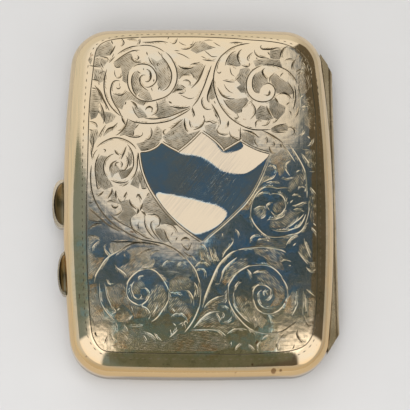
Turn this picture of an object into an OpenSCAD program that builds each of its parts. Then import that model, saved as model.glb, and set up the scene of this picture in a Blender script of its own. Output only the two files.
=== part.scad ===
// Pocket cigarette case of stamped silver sheet, gilt all over.
// It lies on its flat back with the front cover up: the hinge is on the +X side,
// the two thumb pieces on the -X side, and the long sides run along Y.

/* [Covers] */
// Length of the covers along Y
case_length = 84; // [78:1:96]
// Width of the covers along X, at the middle of the long sides
case_width = 63; // [58:1:72]
// Depth of the back half, from the resting face to the parting line
back_depth = 6; // [5.5:0.25:9]
// Depth of the front half, from the parting line to the crown
lid_depth = 6; // [5.5:0.25:9]
// Thickness of the sheet
wall = 0.6; // [0.5:0.05:0.7]
// How far a long side swells over the chord between its corners
side_swell = 1.6; // [1:0.1:2]
// How far a short end swells over the chord between its corners
end_swell = 0.4; // [0.2:0.1:1]
// Radius of the corners in plan
corner_radius = 9.5; // [8:0.5:11]
// Height of the upright rim of each half
rim_height = 1.6; // [1.4:0.1:1.8]
// Width of the rounded edge between the rim and the face
edge_width = 5; // [4:0.25:6.5]
// Rise of the front face from its edge to its middle
crown_rise = 0.6; // [0.3:0.1:1]

/* [Hinge] */
// Length of the joint, from tip to tip
hinge_length = 72.4; // [66:0.2:74]
// Length of each of the three inner knuckles
inner_knuckle = 13.1; // [11:0.1:15]
// Outer diameter of the joint tube
tube_d = 2.2; // [2:0.1:2.6]
// Diameter of the hinge pin
pin_d = 1.1; // [0.9:0.1:1.3]
// Radial clearance between the pin and the lid's knuckles
running_gap = 0.05; // [0.02:0.01:0.1]
// Radial clearance between the pin or a plug and the back's knuckles
seat_gap = 0.01; // [0.01:0.01:0.02]
// How far the tube stands out past the side of the covers
tube_proud = 0.8; // [0.6:0.1:1]
// Gap between neighbouring knuckles
end_play = 0.1; // [0.05:0.05:0.2]
// Clearance round the tube in the joint bearers
bearer_gap = 0.2; // [0.15:0.05:0.3]
// Thickness of the joint bearers behind and below the tube
bearer_wall = 0.5; // [0.4:0.1:0.7]
// Length of the bevel that trims each tip of the joint to the corner
tip_bevel = 4.6; // [3:0.2:6]
// Length of the plug in each tip, along the axis
plug_length = 2.5; // [2:0.25:3.5]

/* [Bezel] */
// Thickness of the bezel strip
bezel_wall = 0.45; // [0.35:0.05:0.6]
// How far the bezel stands up into the lid
bezel_rise = 1; // [0.8:0.1:1.2]
// How far the bezel reaches down inside the back
bezel_drop = 1.5; // [1:0.1:1.6]
// Clearance between the bezel and the lid
bezel_gap = 0.12; // [0.05:0.01:0.2]
// Distance from the joint bearers to the ends of the bezel
bezel_stop = 3; // [2:0.5:6]

/* [Thumb pieces] */
// Length of the back's thumb piece along the side
back_thumb_length = 11.7; // [9:0.1:14]
// How far the back's thumb piece stands out from the side
back_thumb_reach = 2.6; // [1.5:0.1:3.5]
// Place of the back's thumb piece along Y
back_thumb_y = -0.4; // [-6:0.1:12]
// Length of the lid's thumb piece along the side
lid_thumb_length = 10.4; // [8:0.1:12]
// How far the lid's thumb piece stands out from the side
lid_thumb_reach = 1.7; // [1.2:0.1:2.5]
// Distance between the middles of the two thumb pieces
thumb_spacing = 17.2; // [15:0.1:20]
// Thickness of the thumb pieces at the side
thumb_height = 2; // [1.6:0.1:2.4]
// Depth of the dish in the thumb pieces
thumb_dish = 1.1; // [0.6:0.1:1.3]
// Thickness of the rim round the dish
thumb_rim = 0.35; // [0.2:0.05:0.5]
// Squareness of the back's thumb piece in plan: 2 is an ellipse
back_thumb_squareness = 2.6; // [2:0.1:4]
// Squareness of the lid's thumb piece in plan
lid_thumb_squareness = 2; // [2:0.1:4]
// Gap between a thumb piece and the parting line
thumb_gap = 0.1; // [0.05:0.05:0.3]

/* [Straps] */
// Width of the elastic straps
strap_width = 8; // [6:0.5:10]
// Thickness of the elastic straps
strap_thickness = 0.6; // [0.4:0.1:0.8]
// Clearance round a strap's end in its loop
strap_gap = 0.15; // [0.1:0.05:0.2]
// Thickness of the silver round the slot of a strap loop
loop_wall = 0.35; // [0.3:0.05:0.5]
// Depth of a strap loop, in the direction of the strap
loop_depth = 1.8; // [1.2:0.1:2.4]
// Distance from the parting line to the back's strap loops
back_loop_drop = 0.2; // [0.1:0.05:0.4]
// Clearance between the bezel and the lid's strap loops
lid_loop_gap = 0.15; // [0.1:0.05:0.3]

/* [Hidden] */

half_width = case_width / 2;
half_length = case_length / 2;

// Steps of the three arcs in a quarter of the outline, and of the rounded edge
side_steps = 6;
corner_steps = 10;
end_steps = 4;
edge_steps = 6;
crown_steps = 3;
round_fn = 48;
dish_fn = 32;
lip_steps = 20;

// The cutters run past what they cut by this much
over = 1;

// Arcs of the outline: each is given by its radius and its centre
side_chord = half_length - corner_radius;
end_chord = half_width - corner_radius;
side_radius = (side_chord ^ 2 + side_swell ^ 2) / (2 * side_swell);
end_radius = (end_chord ^ 2 + end_swell ^ 2) / (2 * end_swell);
side_centre = [half_width - side_radius, 0];
end_centre = [0, half_length - end_radius];
centre_gap = norm(end_centre - side_centre);
centre_line = (end_centre - side_centre) / centre_gap;
corner_along = ((side_radius - corner_radius) ^ 2 - (end_radius - corner_radius) ^ 2
    + centre_gap ^ 2) / (2 * centre_gap);
corner_across = sqrt((side_radius - corner_radius) ^ 2 - corner_along ^ 2);
corner_centre = side_centre + corner_along * centre_line
    + corner_across * [-centre_line.y, centre_line.x];
side_angle = atan2(corner_centre.y, corner_centre.x - side_centre.x);
end_angle = atan2(corner_centre.y - end_centre.y, corner_centre.x);

// Joint: the axis lies in the parting plane
parting_z = back_depth;
tube_r = tube_d / 2;
pin_r = pin_d / 2;
hinge_x = half_width + tube_proud - tube_r;
groove_r = tube_r + bearer_gap;
bearer_depth = groove_r + bearer_wall;
bearer_x = hinge_x - bearer_depth;
half_hinge = hinge_length / 2;
axis_end = half_hinge - tip_bevel * bearer_depth / (bearer_depth + tube_r);
// Y of the joints between the five knuckles, from the lower tip to the upper one
knuckle_ends = [-half_hinge, for (k = [-1.5:1:1.5]) k * inner_knuckle, half_hinge];
last_knuckle = len(knuckle_ends) - 2;

// Strap loops
loop_height = strap_thickness + 2 * (strap_gap + loop_wall);
loop_width = strap_width + 2 * (strap_gap + loop_wall);
back_loop_z = parting_z - back_loop_drop - loop_height;
lid_loop_z = parting_z + bezel_rise + lid_loop_gap;
loop_sag = (loop_width / 2) ^ 2 / (2 * side_radius);
bezel_face = half_width - wall - bezel_wall - bezel_gap;
back_loop_left_x = -(bezel_face - loop_sag);
lid_loop_left_x = -(half_width - inner_inset(lid_loop_z - parting_z + loop_height, lid_depth, crown_rise)
    - loop_sag);
strap_end_gap = strap_gap + loop_wall;

silver_gilt = [0.84, 0.75, 0.58];
tarnished = [0.62, 0.57, 0.43];
pale_silver = [0.80, 0.78, 0.72];
elastic = [0.55, 0.45, 0.28];

// A point on an arc
function arc_point(centre, radius, angle) = centre + radius * [cos(angle), sin(angle)];

// A quarter of the outline, drawn in by inset
function quarter(inset) = concat(
    [for (i = [0:side_steps - 1])
        arc_point(side_centre, side_radius - inset, side_angle * i / side_steps)],
    [for (i = [0:corner_steps - 1])
        arc_point(corner_centre, corner_radius - inset,
            side_angle + (end_angle - side_angle) * i / corner_steps)],
    [for (i = [0:end_steps])
        arc_point(end_centre, end_radius - inset, end_angle + (90 - end_angle) * i / end_steps)]
);

// The whole outline of the covers, drawn in by inset
function outline(inset) = let (q = quarter(inset), last = len(q) - 1) concat(
    q,
    [for (i = [last - 1:-1:0]) [-q[i].x, q[i].y]],
    [for (i = [1:last]) [-q[i].x, -q[i].y]],
    [for (i = [last - 1:-1:1]) [q[i].x, -q[i].y]]
);

// Height of the crown over the rounded edge, at a share of the way in from the outline
function crown(rise, share) = rise * (1 - (1 - share) ^ 2);

// Inset of the inner wall at a height over the parting line
function inner_inset(z, depth, rise) = z <= rim_height ? wall
    : wall + (edge_width - wall) * (1 - sqrt(1 - ((z - rim_height)
        / (depth - rim_height - rise - wall)) ^ 2));

// One ring of points at one height
function ring(points, z) = [for (p = points) [p.x, p.y, z]];

// Rings of one face of a cover, from the middle of the crown down to the rim
function face_rings(inset, width, height, rise) = concat(
    rise > 0 ? [for (k = [crown_steps:-1:1]) let (scale = 1 - k / (crown_steps + 0.5))
        ring(scale * outline(inset + width), rim_height + height
            + crown(rise, 1 - scale * (1 - edge_width / half_width)))] : [],
    [for (i = [edge_steps:-1:0]) let (angle = 90 * i / edge_steps,
            drawn = inset + width * (1 - cos(angle)))
        ring(outline(drawn), rim_height + height * sin(angle)
            + crown(rise, edge_width * (1 - cos(angle)) / half_width))],
    [ring(outline(inset), 0)]
);

// A cushion shaped cover, open downwards, with its rim on z = 0
module cover_shell(depth, rise) {
    height = depth - rim_height - rise;
    outer = face_rings(0, edge_width, height, rise);
    inner = face_rings(wall, edge_width - wall, height - wall, rise);
    rings = concat(outer, [for (i = [len(inner) - 1:-1:0]) inner[i]]);
    count = len(rings[0]);
    last = len(rings) - 1;
    polyhedron(
        points = [for (r = rings) each r],
        faces = concat(
            [[for (j = [count - 1:-1:0]) j]],
            [[for (j = [0:count - 1]) last * count + j]],
            [for (i = [0:last - 1], j = [0:count - 1]) let (next = (j + 1) % count)
                [i * count + j, i * count + next, (i + 1) * count + next, (i + 1) * count + j]]
        )
    );
}

// A flat strip that follows the covers' wall, between two insets
module rim_strip(outer_inset, inner_inset, low, high) {
    translate([0, 0, low])
        linear_extrude(height = high - low)
            difference() {
                polygon(outline(outer_inset));
                polygon(outline(inner_inset));
            }
}

// Space in a cover's side for its joint bearer and the tube, over the parting line
module joint_notch() {
    translate([bearer_x, -half_hinge, -over])
        cube([bearer_depth + tube_d, hinge_length, bearer_depth + over]);
}

// Keeps what lies between the two bevelled tips of the joint
module trim_tips() {
    outer = half_hinge - tip_bevel;
    intersection() {
        children();
        linear_extrude(height = 4 * bearer_depth, center = true)
            polygon([[bearer_x, -half_hinge], [hinge_x + tube_r, -outer],
                [hinge_x + tube_r + over, -outer], [hinge_x + tube_r + over, outer],
                [hinge_x + tube_r, outer], [bearer_x, half_hinge]]);
    }
}

// A rod along the joint's axis
module axis_rod(radius, from, to) {
    translate([hinge_x, from, 0])
        rotate([-90, 0, 0])
            cylinder(r = radius, h = to - from, $fn = round_fn);
}

// The channel that carries one half's knuckles, over the parting line
module joint_bearer() {
    trim_tips()
        difference() {
            translate([bearer_x, -half_hinge, 0])
                cube([bearer_depth, hinge_length, bearer_depth]);
            axis_rod(groove_r, -half_hinge - over, half_hinge + over);
        }
}

// One length of tube with the seat that joins it to its bearer, over the parting line
module knuckle(index, gap) {
    low = knuckle_ends[index] + (index > 0 ? end_play / 2 : 0);
    high = knuckle_ends[index + 1] - (index < last_knuckle ? end_play / 2 : 0);
    trim_tips()
        difference() {
            union() {
                axis_rod(tube_r, low, high);
                intersection() {
                    axis_rod(groove_r, low, high);
                    translate([hinge_x - groove_r, low, 0])
                        cube([groove_r, high - low, groove_r]);
                }
            }
            axis_rod(pin_r + gap, low - over, high + over);
        }
}

// Puts a piece that is drawn over the parting line in the front half
module in_front() {
    translate([0, 0, parting_z]) children();
}

// Puts a piece that is drawn over the parting line in the back half
module in_back() {
    translate([0, 0, parting_z]) mirror([0, 0, 1]) children();
}

// Outline of a thumb piece: half a rounded lozenge that grows out of the side
module lip_outline(length, reach, squareness) {
    polygon(concat(
        [[over, -length / 2]],
        [for (i = [0:lip_steps]) let (angle = 180 * i / lip_steps - 90)
            [-reach * abs(cos(angle)) ^ (2 / squareness),
                sign(sin(angle)) * length / 2 * abs(sin(angle)) ^ (2 / squareness)]],
        [[over, length / 2]]
    ));
}

// A dished lip on the -X side, with its flat underside on z = 0
module thumb_lip(length, reach, y, squareness) {
    side_x = half_width - side_radius + sqrt(side_radius ^ 2 - y ^ 2);
    difference() {
        translate([-side_x, y, 0])
            linear_extrude(height = thumb_height)
                lip_outline(length, reach, squareness);
        translate([-side_x, y, thumb_height])
            scale([reach - thumb_rim, length / 2 - 2 * thumb_rim, thumb_dish])
                sphere(r = 1, $fn = dish_fn);
        translate([0, 0, -over])
            linear_extrude(height = thumb_height + 2 * over)
                polygon(outline(0));
    }
}

// A slotted loop that grips one end of a strap: its slot runs along X
module strap_loop() {
    difference() {
        translate([0, -loop_width / 2, 0])
            cube([loop_depth, loop_width, loop_height]);
        translate([-over, loop_wall - loop_width / 2, loop_wall])
            cube([loop_depth + 2 * over, loop_width - 2 * loop_wall, loop_height - 2 * loop_wall]);
    }
}

// An elastic strap from one loop's slot to the other's
module strap(left_x, right_x, z) {
    translate([left_x + strap_end_gap, -strap_width / 2, z + loop_wall + strap_gap])
        cube([right_x - left_x - 2 * strap_end_gap, strap_width, strap_thickness]);
}

module back_cover() {
    color(silver_gilt)
        in_back()
            difference() {
                cover_shell(back_depth, 0);
                joint_notch();
            }
}

module front_cover() {
    color(silver_gilt)
        in_front()
            difference() {
                cover_shell(lid_depth, crown_rise);
                joint_notch();
            }
}

module bezel() {
    inner = wall + bezel_gap + bezel_wall;
    color(silver_gilt)
        intersection() {
            in_front() {
                rim_strip(wall, inner, -bezel_drop, 0);
                rim_strip(wall + bezel_gap, inner, 0, bezel_rise);
            }
            translate([-half_width, -half_length, 0])
                cube([half_width + bearer_x - bezel_stop, case_length, back_depth + lid_depth]);
        }
}

module back_joint_bearer() {
    color(tarnished) in_back() joint_bearer();
}

module front_joint_bearer() {
    color(tarnished) in_front() joint_bearer();
}

module back_knuckle_lower() {
    color(tarnished) in_back() knuckle(0, seat_gap);
}

module front_knuckle_lower() {
    color(tarnished) in_front() knuckle(1, running_gap);
}

module back_knuckle_middle() {
    color(tarnished) in_back() knuckle(2, seat_gap);
}

module front_knuckle_upper() {
    color(tarnished) in_front() knuckle(3, running_gap);
}

module back_knuckle_upper() {
    color(tarnished) in_back() knuckle(4, seat_gap);
}

module hinge_pin() {
    reach = axis_end - plug_length;
    color(pale_silver) in_front() axis_rod(pin_r, -reach, reach);
}

module pin_plug(side) {
    inner = axis_end - plug_length;
    color(silver_gilt)
        in_front()
            trim_tips()
                axis_rod(pin_r, side > 0 ? inner : -half_hinge, side > 0 ? half_hinge : -inner);
}

module pin_plug_lower() {
    pin_plug(-1);
}

module pin_plug_upper() {
    pin_plug(1);
}

module back_thumb_piece() {
    color(tarnished)
        translate([0, 0, parting_z - thumb_gap - thumb_height])
            thumb_lip(back_thumb_length, back_thumb_reach, back_thumb_y,
                back_thumb_squareness);
}

module front_thumb_piece() {
    color(tarnished)
        translate([0, 0, parting_z + thumb_gap])
            thumb_lip(lid_thumb_length, lid_thumb_reach, back_thumb_y - thumb_spacing,
                lid_thumb_squareness);
}

module back_strap_loop_left() {
    color(silver_gilt) translate([back_loop_left_x, 0, back_loop_z]) strap_loop();
}

module back_strap_loop_right() {
    color(silver_gilt) translate([bearer_x - loop_depth, 0, back_loop_z]) strap_loop();
}

module back_elastic_strap() {
    color(elastic) strap(back_loop_left_x, bearer_x, back_loop_z);
}

module front_strap_loop_left() {
    color(silver_gilt) translate([lid_loop_left_x, 0, lid_loop_z]) strap_loop();
}

module front_strap_loop_right() {
    color(silver_gilt) translate([bearer_x - loop_depth, 0, lid_loop_z]) strap_loop();
}

module front_elastic_strap() {
    color(elastic) strap(lid_loop_left_x, bearer_x, lid_loop_z);
}

back_cover();
front_cover();
bezel();
back_joint_bearer();
front_joint_bearer();
back_knuckle_lower();
front_knuckle_lower();
back_knuckle_middle();
front_knuckle_upper();
back_knuckle_upper();
hinge_pin();
pin_plug_lower();
pin_plug_upper();
back_thumb_piece();
front_thumb_piece();
back_strap_loop_left();
back_strap_loop_right();
back_elastic_strap();
front_strap_loop_left();
front_strap_loop_right();
front_elastic_strap();
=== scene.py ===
import math
import random

import bmesh
import bpy
import numpy as np
from mathutils import Matrix, Vector, geometry


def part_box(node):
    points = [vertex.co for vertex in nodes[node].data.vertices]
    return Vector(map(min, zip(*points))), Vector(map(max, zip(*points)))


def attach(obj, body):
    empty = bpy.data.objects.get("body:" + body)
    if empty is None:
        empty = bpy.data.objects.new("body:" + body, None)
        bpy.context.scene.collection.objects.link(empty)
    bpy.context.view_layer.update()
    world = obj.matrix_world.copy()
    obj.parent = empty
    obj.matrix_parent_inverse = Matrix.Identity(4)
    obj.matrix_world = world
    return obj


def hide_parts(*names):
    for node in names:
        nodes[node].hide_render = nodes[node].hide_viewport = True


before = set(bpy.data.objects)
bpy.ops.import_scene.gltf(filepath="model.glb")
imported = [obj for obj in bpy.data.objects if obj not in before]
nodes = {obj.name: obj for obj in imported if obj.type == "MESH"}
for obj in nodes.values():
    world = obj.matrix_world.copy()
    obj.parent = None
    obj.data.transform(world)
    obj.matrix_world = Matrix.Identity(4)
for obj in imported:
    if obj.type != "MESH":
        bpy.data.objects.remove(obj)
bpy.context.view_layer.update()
mm = 0.001
print("frame loaded:", len(nodes), "nodes")


# camera: lengths in mm, the picture in its own units
shot = {
    "target": (0, 0, 6),
    "distance": 500,
    "leanX": 0.046,
    "leanY": 0.268,
    "roll": -0.011,
    "focal": 2135.5,
    "middle": (198.2, 202.04),
    "picture": 410,
    "sensor": 36,
    "near": 0.01,
    "far": 20,
}


def cameraAxes():
    back = Vector((-math.tan(shot["leanX"]), -math.tan(shot["leanY"]), 1)).normalized()
    level = Vector((0, 1, 0)).cross(back).normalized()
    upright = back.cross(level)
    c = math.cos(shot["roll"])
    s = math.sin(shot["roll"])
    return c * level + s * upright, c * upright - s * level, back


def addCamera():
    right, up, back = cameraAxes()
    place = (Vector(shot["target"]) + shot["distance"] * back) * mm
    data = bpy.data.cameras.new("camera")
    data.sensor_width = shot["sensor"]
    data.lens = shot["sensor"] * shot["focal"] / shot["picture"]
    data.shift_x = 0.5 - shot["middle"][0] / shot["picture"]
    data.shift_y = shot["middle"][1] / shot["picture"] - 0.5
    data.clip_start = shot["near"]
    data.clip_end = shot["far"]
    camera = bpy.data.objects.new("camera", data)
    turn = Matrix((right, up, back)).transposed().to_4x4()
    camera.matrix_world = Matrix.Translation(place) @ turn
    bpy.context.scene.collection.objects.link(camera)
    bpy.context.scene.camera = camera


addCamera()
bpy.context.scene.view_settings.view_transform = "Standard"
print("camera placed")


# shader maths
class Wire:
    def __init__(self, finish, socket):
        self.finish = finish
        self.socket = socket

    def maths(self, operation, *values):
        return self.finish.node("ShaderNodeMath", {"operation": operation}, dict(enumerate(values)))

    def __add__(self, other):
        return self.maths("ADD", self, other)

    def __radd__(self, other):
        return self.maths("ADD", other, self)

    def __sub__(self, other):
        return self.maths("SUBTRACT", self, other)

    def __rsub__(self, other):
        return self.maths("SUBTRACT", other, self)

    def __mul__(self, other):
        return self.maths("MULTIPLY", self, other)

    def __rmul__(self, other):
        return self.maths("MULTIPLY", other, self)

    def __truediv__(self, other):
        return self.maths("DIVIDE", self, other)

    def __pow__(self, other):
        return self.maths("POWER", self, other)

    def atLeast(self, other):
        return self.maths("MAXIMUM", self, other)

    def between(self, low, high):  # 0 at low, 1 at high, smooth
        return self.finish.node("ShaderNodeMapRange", {"interpolation_type": "SMOOTHSTEP"},
                                {"Value": self, "From Min": low, "From Max": high})


class Finish:
    def __init__(self, name, tree=None):
        if tree is None:
            self.material = bpy.data.materials.new(name)
            self.material.use_nodes = True
            tree = self.material.node_tree
        self.tree = tree
        tree.nodes.clear()

    def node(self, kind, settings, values, out=0):
        made = self.tree.nodes.new(kind)
        for name, value in settings.items():
            if name == "stops":
                ramp = made.color_ramp.elements
                while len(ramp) < len(value):
                    ramp.new(0.5)
                for stop, (place, colour) in zip(ramp, value):
                    stop.position = place
                    stop.color = (*colour, 1)
            else:
                setattr(made, name, value)
        for key, value in values.items():
            socket = made.inputs[key]
            if isinstance(value, Wire):
                self.tree.links.new(value.socket, socket)
            elif isinstance(value, tuple) and socket.type == "RGBA":
                socket.default_value = (*value, 1)
            else:
                socket.default_value = value
        return Wire(self, made.outputs[out])

    def split(self, wire):  # the three parts of a vector or a colour
        return [Wire(self, wire.socket.node.outputs[i]) for i in range(3)]

    def place(self, scale=(1, 1, 1), turn=0, shift=(0, 0, 0)):  # object coordinates
        here = self.node("ShaderNodeTexCoord", {}, {}, "Object")
        return self.node("ShaderNodeMapping", {}, {
            "Vector": here, "Scale": scale, "Rotation": (0, 0, turn), "Location": shift})

    def axes(self):
        here = self.node("ShaderNodeTexCoord", {}, {}, "Object")
        return self.split(self.node("ShaderNodeSeparateXYZ", {}, {"Vector": here}))

    def noise(self, place, scale, detail=2, roughness=0.5):
        return self.node("ShaderNodeTexNoise", {}, {
            "Vector": place, "Scale": scale, "Detail": detail, "Roughness": roughness})

    def patches(self, shift, scale, detail=2, roughness=0.5):  # noise unlike the others' in its place
        return self.noise(self.place(shift=shift), scale, detail, roughness)

    def streaks(self, scale, turn=0, roughness=0.7):  # noise drawn out along one way
        return self.noise(self.place(scale, turn), 1, 3, roughness)

    def blend(self, share, first, second):
        return self.node("ShaderNodeMix", {"data_type": "RGBA"}, {0: share, 6: first, 7: second}, 2)

    def curve(self, along, stops):  # a number that follows another, both from 0 to 1
        grey = [(place, (value, value, value)) for place, value in stops]
        return self.node("ShaderNodeValToRGB", {"stops": grey}, {"Fac": along})

    def bump(self, height, strength, distance, under=None):
        values = {"Height": height, "Strength": strength, "Distance": distance}
        if under:
            values["Normal"] = under
        return self.node("ShaderNodeBump", {}, values)

    def surface(self, **values):
        names = {"colour": "Base Color", "roughness": "Roughness", "metallic": "Metallic",
                 "normal": "Normal", "sheen": "Sheen Weight"}
        shader = self.node("ShaderNodeBsdfPrincipled", {},
                           {names[name]: value for name, value in values.items()})
        self.shown(shader)
        return self.material

    def shown(self, shader, kind="ShaderNodeOutputMaterial"):
        out = self.tree.nodes.new(kind)
        self.tree.links.new(shader.socket, out.inputs["Surface"])


# outline and form of the covers, mm
case = {
    "halfWidth": 31.5,
    "halfLength": 42,
    "sideSwell": 1.6,
    "endSwell": 0.4,
    "corner": 9.5,
    "rim": 1.6,
    "edge": 5,
    "depth": 6,
    "wall": 0.6,
    "parting": 6,
    "sideSteps": 22,
    "cornerSteps": 22,
    "endSteps": 16,
}
halves = {
    "front": {"crown": 0.6, "sign": 1},
    "back": {"crown": 0.0, "sign": -1},
}


def solveArcs():
    sideChord = case["halfLength"] - case["corner"]
    endChord = case["halfWidth"] - case["corner"]
    sideRadius = (sideChord ** 2 + case["sideSwell"] ** 2) / (2 * case["sideSwell"])
    endRadius = (endChord ** 2 + case["endSwell"] ** 2) / (2 * case["endSwell"])
    sideCentre = Vector((case["halfWidth"] - sideRadius, 0))
    endCentre = Vector((0, case["halfLength"] - endRadius))
    line = endCentre - sideCentre
    gap = line.length
    line.normalize()
    along = ((sideRadius - case["corner"]) ** 2 - (endRadius - case["corner"]) ** 2
             + gap ** 2) / (2 * gap)
    across = math.sqrt((sideRadius - case["corner"]) ** 2 - along ** 2)
    cornerCentre = sideCentre + along * line + across * Vector((-line.y, line.x))
    sideAngle = math.atan2(cornerCentre.y, cornerCentre.x - sideCentre.x)
    endAngle = math.atan2(cornerCentre.y - endCentre.y, cornerCentre.x)
    return [
        (sideCentre, sideRadius, 0, sideAngle, case["sideSteps"]),
        (cornerCentre, case["corner"], sideAngle, endAngle, case["cornerSteps"]),
        (endCentre, endRadius, endAngle, math.pi / 2, case["endSteps"]),
    ]


arcs = solveArcs()


def outline(inset):
    quarter = []
    for centre, radius, start, stop, steps in arcs:
        for i in range(steps):
            angle = start + (stop - start) * i / steps
            quarter.append((centre.x + (radius - inset) * math.cos(angle),
                            centre.y + (radius - inset) * math.sin(angle)))
    top = (0.0, arcs[2][0].y + arcs[2][1] - inset)
    back = quarter[:0:-1]
    upper = quarter + [top] + [(-x, y) for x, y in back]
    lower = [(-x, -y) for x, y in quarter] + [(0.0, -top[1])] + [(x, -y) for x, y in back]
    return upper + lower


def edgeOf(x, y):  # inset from the outline, and the way out of it
    ax = np.abs(x)
    ay = np.abs(y)
    insets = []
    outX = []
    outY = []
    for centre, radius, *_ in arcs:
        dx = ax - centre.x
        dy = ay - centre.y
        reach = np.maximum(np.hypot(dx, dy), 1e-9)
        insets.append(radius - reach)
        outX.append(dx / reach)
        outY.append(dy / reach)
    angle = np.arctan2(ay - arcs[1][0].y, ax - arcs[1][0].x)
    inCorner = (angle > arcs[1][2]) & (angle < arcs[1][3])
    pick = np.where(inCorner, 1, np.where(insets[0] < insets[2], 0, 2))
    inset = np.choose(pick, insets)
    return inset, np.choose(pick, outX) * np.sign(x), np.choose(pick, outY) * np.sign(y)


def crownShare(x, y):  # share of the way in, 0 at the outline, found by halving
    inset = edgeOf(x, y)[0]
    low = np.full(np.shape(x), 1e-3)
    high = np.full(np.shape(x), 1.0)
    for _ in range(16):
        middle = (low + high) / 2
        inside = edgeOf(x / middle, y / middle)[0] > case["edge"]
        high = np.where(inside, middle, high)
        low = np.where(inside, low, middle)
    edgeShare = case["edge"] / case["halfWidth"]
    return np.where(inset >= case["edge"], 1 - high * (1 - edgeShare), inset / case["halfWidth"])


# shallow dents of long use: wave length, direction, phase and depth, in mm and radians
dents = [
    (31, 0.4, 0.3, 0.0060),
    (22, 1.9, 2.1, 0.0040),
    (13, 2.9, 4.0, 0.0020),
    (8.3, 2.3, 5.2, 0.0008),
]
dentFade = {"over": 3, "start": 0.3}  # toward the rim: mm of inset, and its share without dents


def dented(x, y):
    total = np.zeros(np.shape(x))
    for length, way, phase, depth in dents:
        turn = 2 * math.pi / length
        total += depth * np.sin(turn * (x * math.cos(way) + y * math.sin(way)) + phase)
    return total


def crownHeight(x, y, half):
    share = crownShare(x, y)
    fade = np.clip(edgeOf(x, y)[0] / dentFade["over"] - dentFade["start"], 0, 1)
    return half["crown"] * (1 - (1 - share) ** 2) + fade * dented(x, y)


def coverHeight(x, y, half):  # over the parting line
    inset = edgeOf(x, y)[0]
    rise = case["depth"] - case["rim"] - half["crown"]
    share = np.clip(1 - inset / case["edge"], 0, 1)
    return case["rim"] + rise * np.sqrt(1 - share ** 2) + crownHeight(x, y, half)


def coverNormals(x, y, z, half):  # the crown's creases are smoothed away
    inset, outX, outY = edgeOf(x, y)
    rise = case["depth"] - case["rim"] - half["crown"]
    cosine = np.clip(1 - inset / case["edge"], 0, 1)
    lift = case["edge"] * np.sqrt(1 - cosine ** 2)
    bend = 2 * half["crown"] * (1 - case["edge"] / case["halfWidth"]) ** 2
    step = 0.05
    slopeX = (dented(x + step, y) - dented(x - step, y)) / (2 * step)
    slopeY = (dented(x, y + step) - dented(x, y - step)) / (2 * step)
    tiltX = bend * x / (case["halfWidth"] - case["edge"]) ** 2 - slopeX
    tiltY = bend * y / (case["halfLength"] - case["edge"]) ** 2 - slopeY
    normals = np.stack([outX * rise * cosine + tiltX * lift,
                        outY * rise * cosine + tiltY * lift, lift], axis=1)
    onRim = z <= case["rim"] + 1e-3
    normals[onRim] = np.stack([outX, outY, np.zeros_like(outX)], axis=1)[onRim]
    return normals / np.linalg.norm(normals, axis=1)[:, None]


# settings of the engraved sheet, mm
engraved = {
    "panelInset": 0.9,  # the engraved sheet begins here
    "rings": (1.25, 1.65, 2.1, 2.6, 3.2, 3.9, 4.6, 5.4),
    "gridInset": 5.8,
    "grid": {"step": 1.0, "columns": (-30, 31), "rows": (-41, 42)},
    "shieldGrid": {"step": 0.5, "columns": (-30, 38), "rows": (-22, 34)},
    "jitter": 0.2,  # of a grid's step
    "height": 11.8,  # first guess of the face's height
    "step": 0.25,
    "slope": 0.58,  # depth of a cut over its half width
    "shieldGap": 0.5,  # between the two lines round the shield
    "litStep": 0.4,
    "litSoft": 0.7,  # how softly the shield's lit parts end
    "borderStep": 0.5,
    "dashStep": 0.12,
    "dash": 0.95,
    "dashVaries": (0.85, 1.2),  # times that
    "dashGap": 0.6,
    "dashGapVaries": (0.8, 1.3),
    "shadeFall": 0.6,  # how much paler a patch's painted shade is at its far side
    "spread": 0.18,  # how far a patch reaches under the lines round it
    "told": 0.012,  # cuts shallower than this aren't coloured
    "groundSoft": 0.02,  # how far past its edge a patch is coloured
    "weld": 0.01,  # joins the sheet to the cover's side
}


# the engraving, drawn as it stands in the picture and laid on the cover from there
def onCover(points):
    right, up, back = (np.array(axis) for axis in cameraAxes())
    eye = np.array(shot["target"]) + shot["distance"] * back
    u, v = np.array(points, float).T
    rays = (np.outer(u - shot["middle"][0], right) - np.outer(v - shot["middle"][1], up)
            - shot["focal"] * back)
    z = np.full(len(u), engraved["height"])
    for _ in range(4):
        hits = eye + rays * ((z - eye[2]) / rays[:, 2])[:, None]
        z = case["parting"] + coverHeight(hits[:, 0], hits[:, 1], halves["front"])
    return [tuple(hit) for hit in hits[:, :2]]


# half width of a cut, how far its ends taper and how wide they stay, mm and a share
cutStyles = {
    "fine": {"half": 0.11, "taper": 1.1, "blunt": 0.12, "kind": "line"},
    "plain": {"half": 0.15, "taper": 1.6, "blunt": 0.12, "kind": "line"},
    "bold": {"half": 0.24, "taper": 2.8, "blunt": 0.12, "kind": "line"},
    "shieldInner": {"half": 0.11, "taper": 0.5, "blunt": 0.7, "kind": "line"},
    "shieldOuter": {"half": 0.12, "taper": 0.7, "blunt": 0.5, "kind": "line"},
    "border": {"half": 0.12, "taper": 0.5, "blunt": 0.8, "kind": "border"},
    "dash": {"half": 0.11, "taper": 0.3, "blunt": 0.4, "kind": "border"},
    "hatch": {"half": 0.10, "taper": 0.6, "blunt": 0.12, "kind": "hatch"},
    "leaf": {"half": 0.085, "taper": 0.9, "blunt": 0.2, "kind": "leaf"},
}
cutMarks = {"line": 1.0, "border": 0.75, "hatch": 0.5, "leaf": 0.25}  # told apart by the finish

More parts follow.
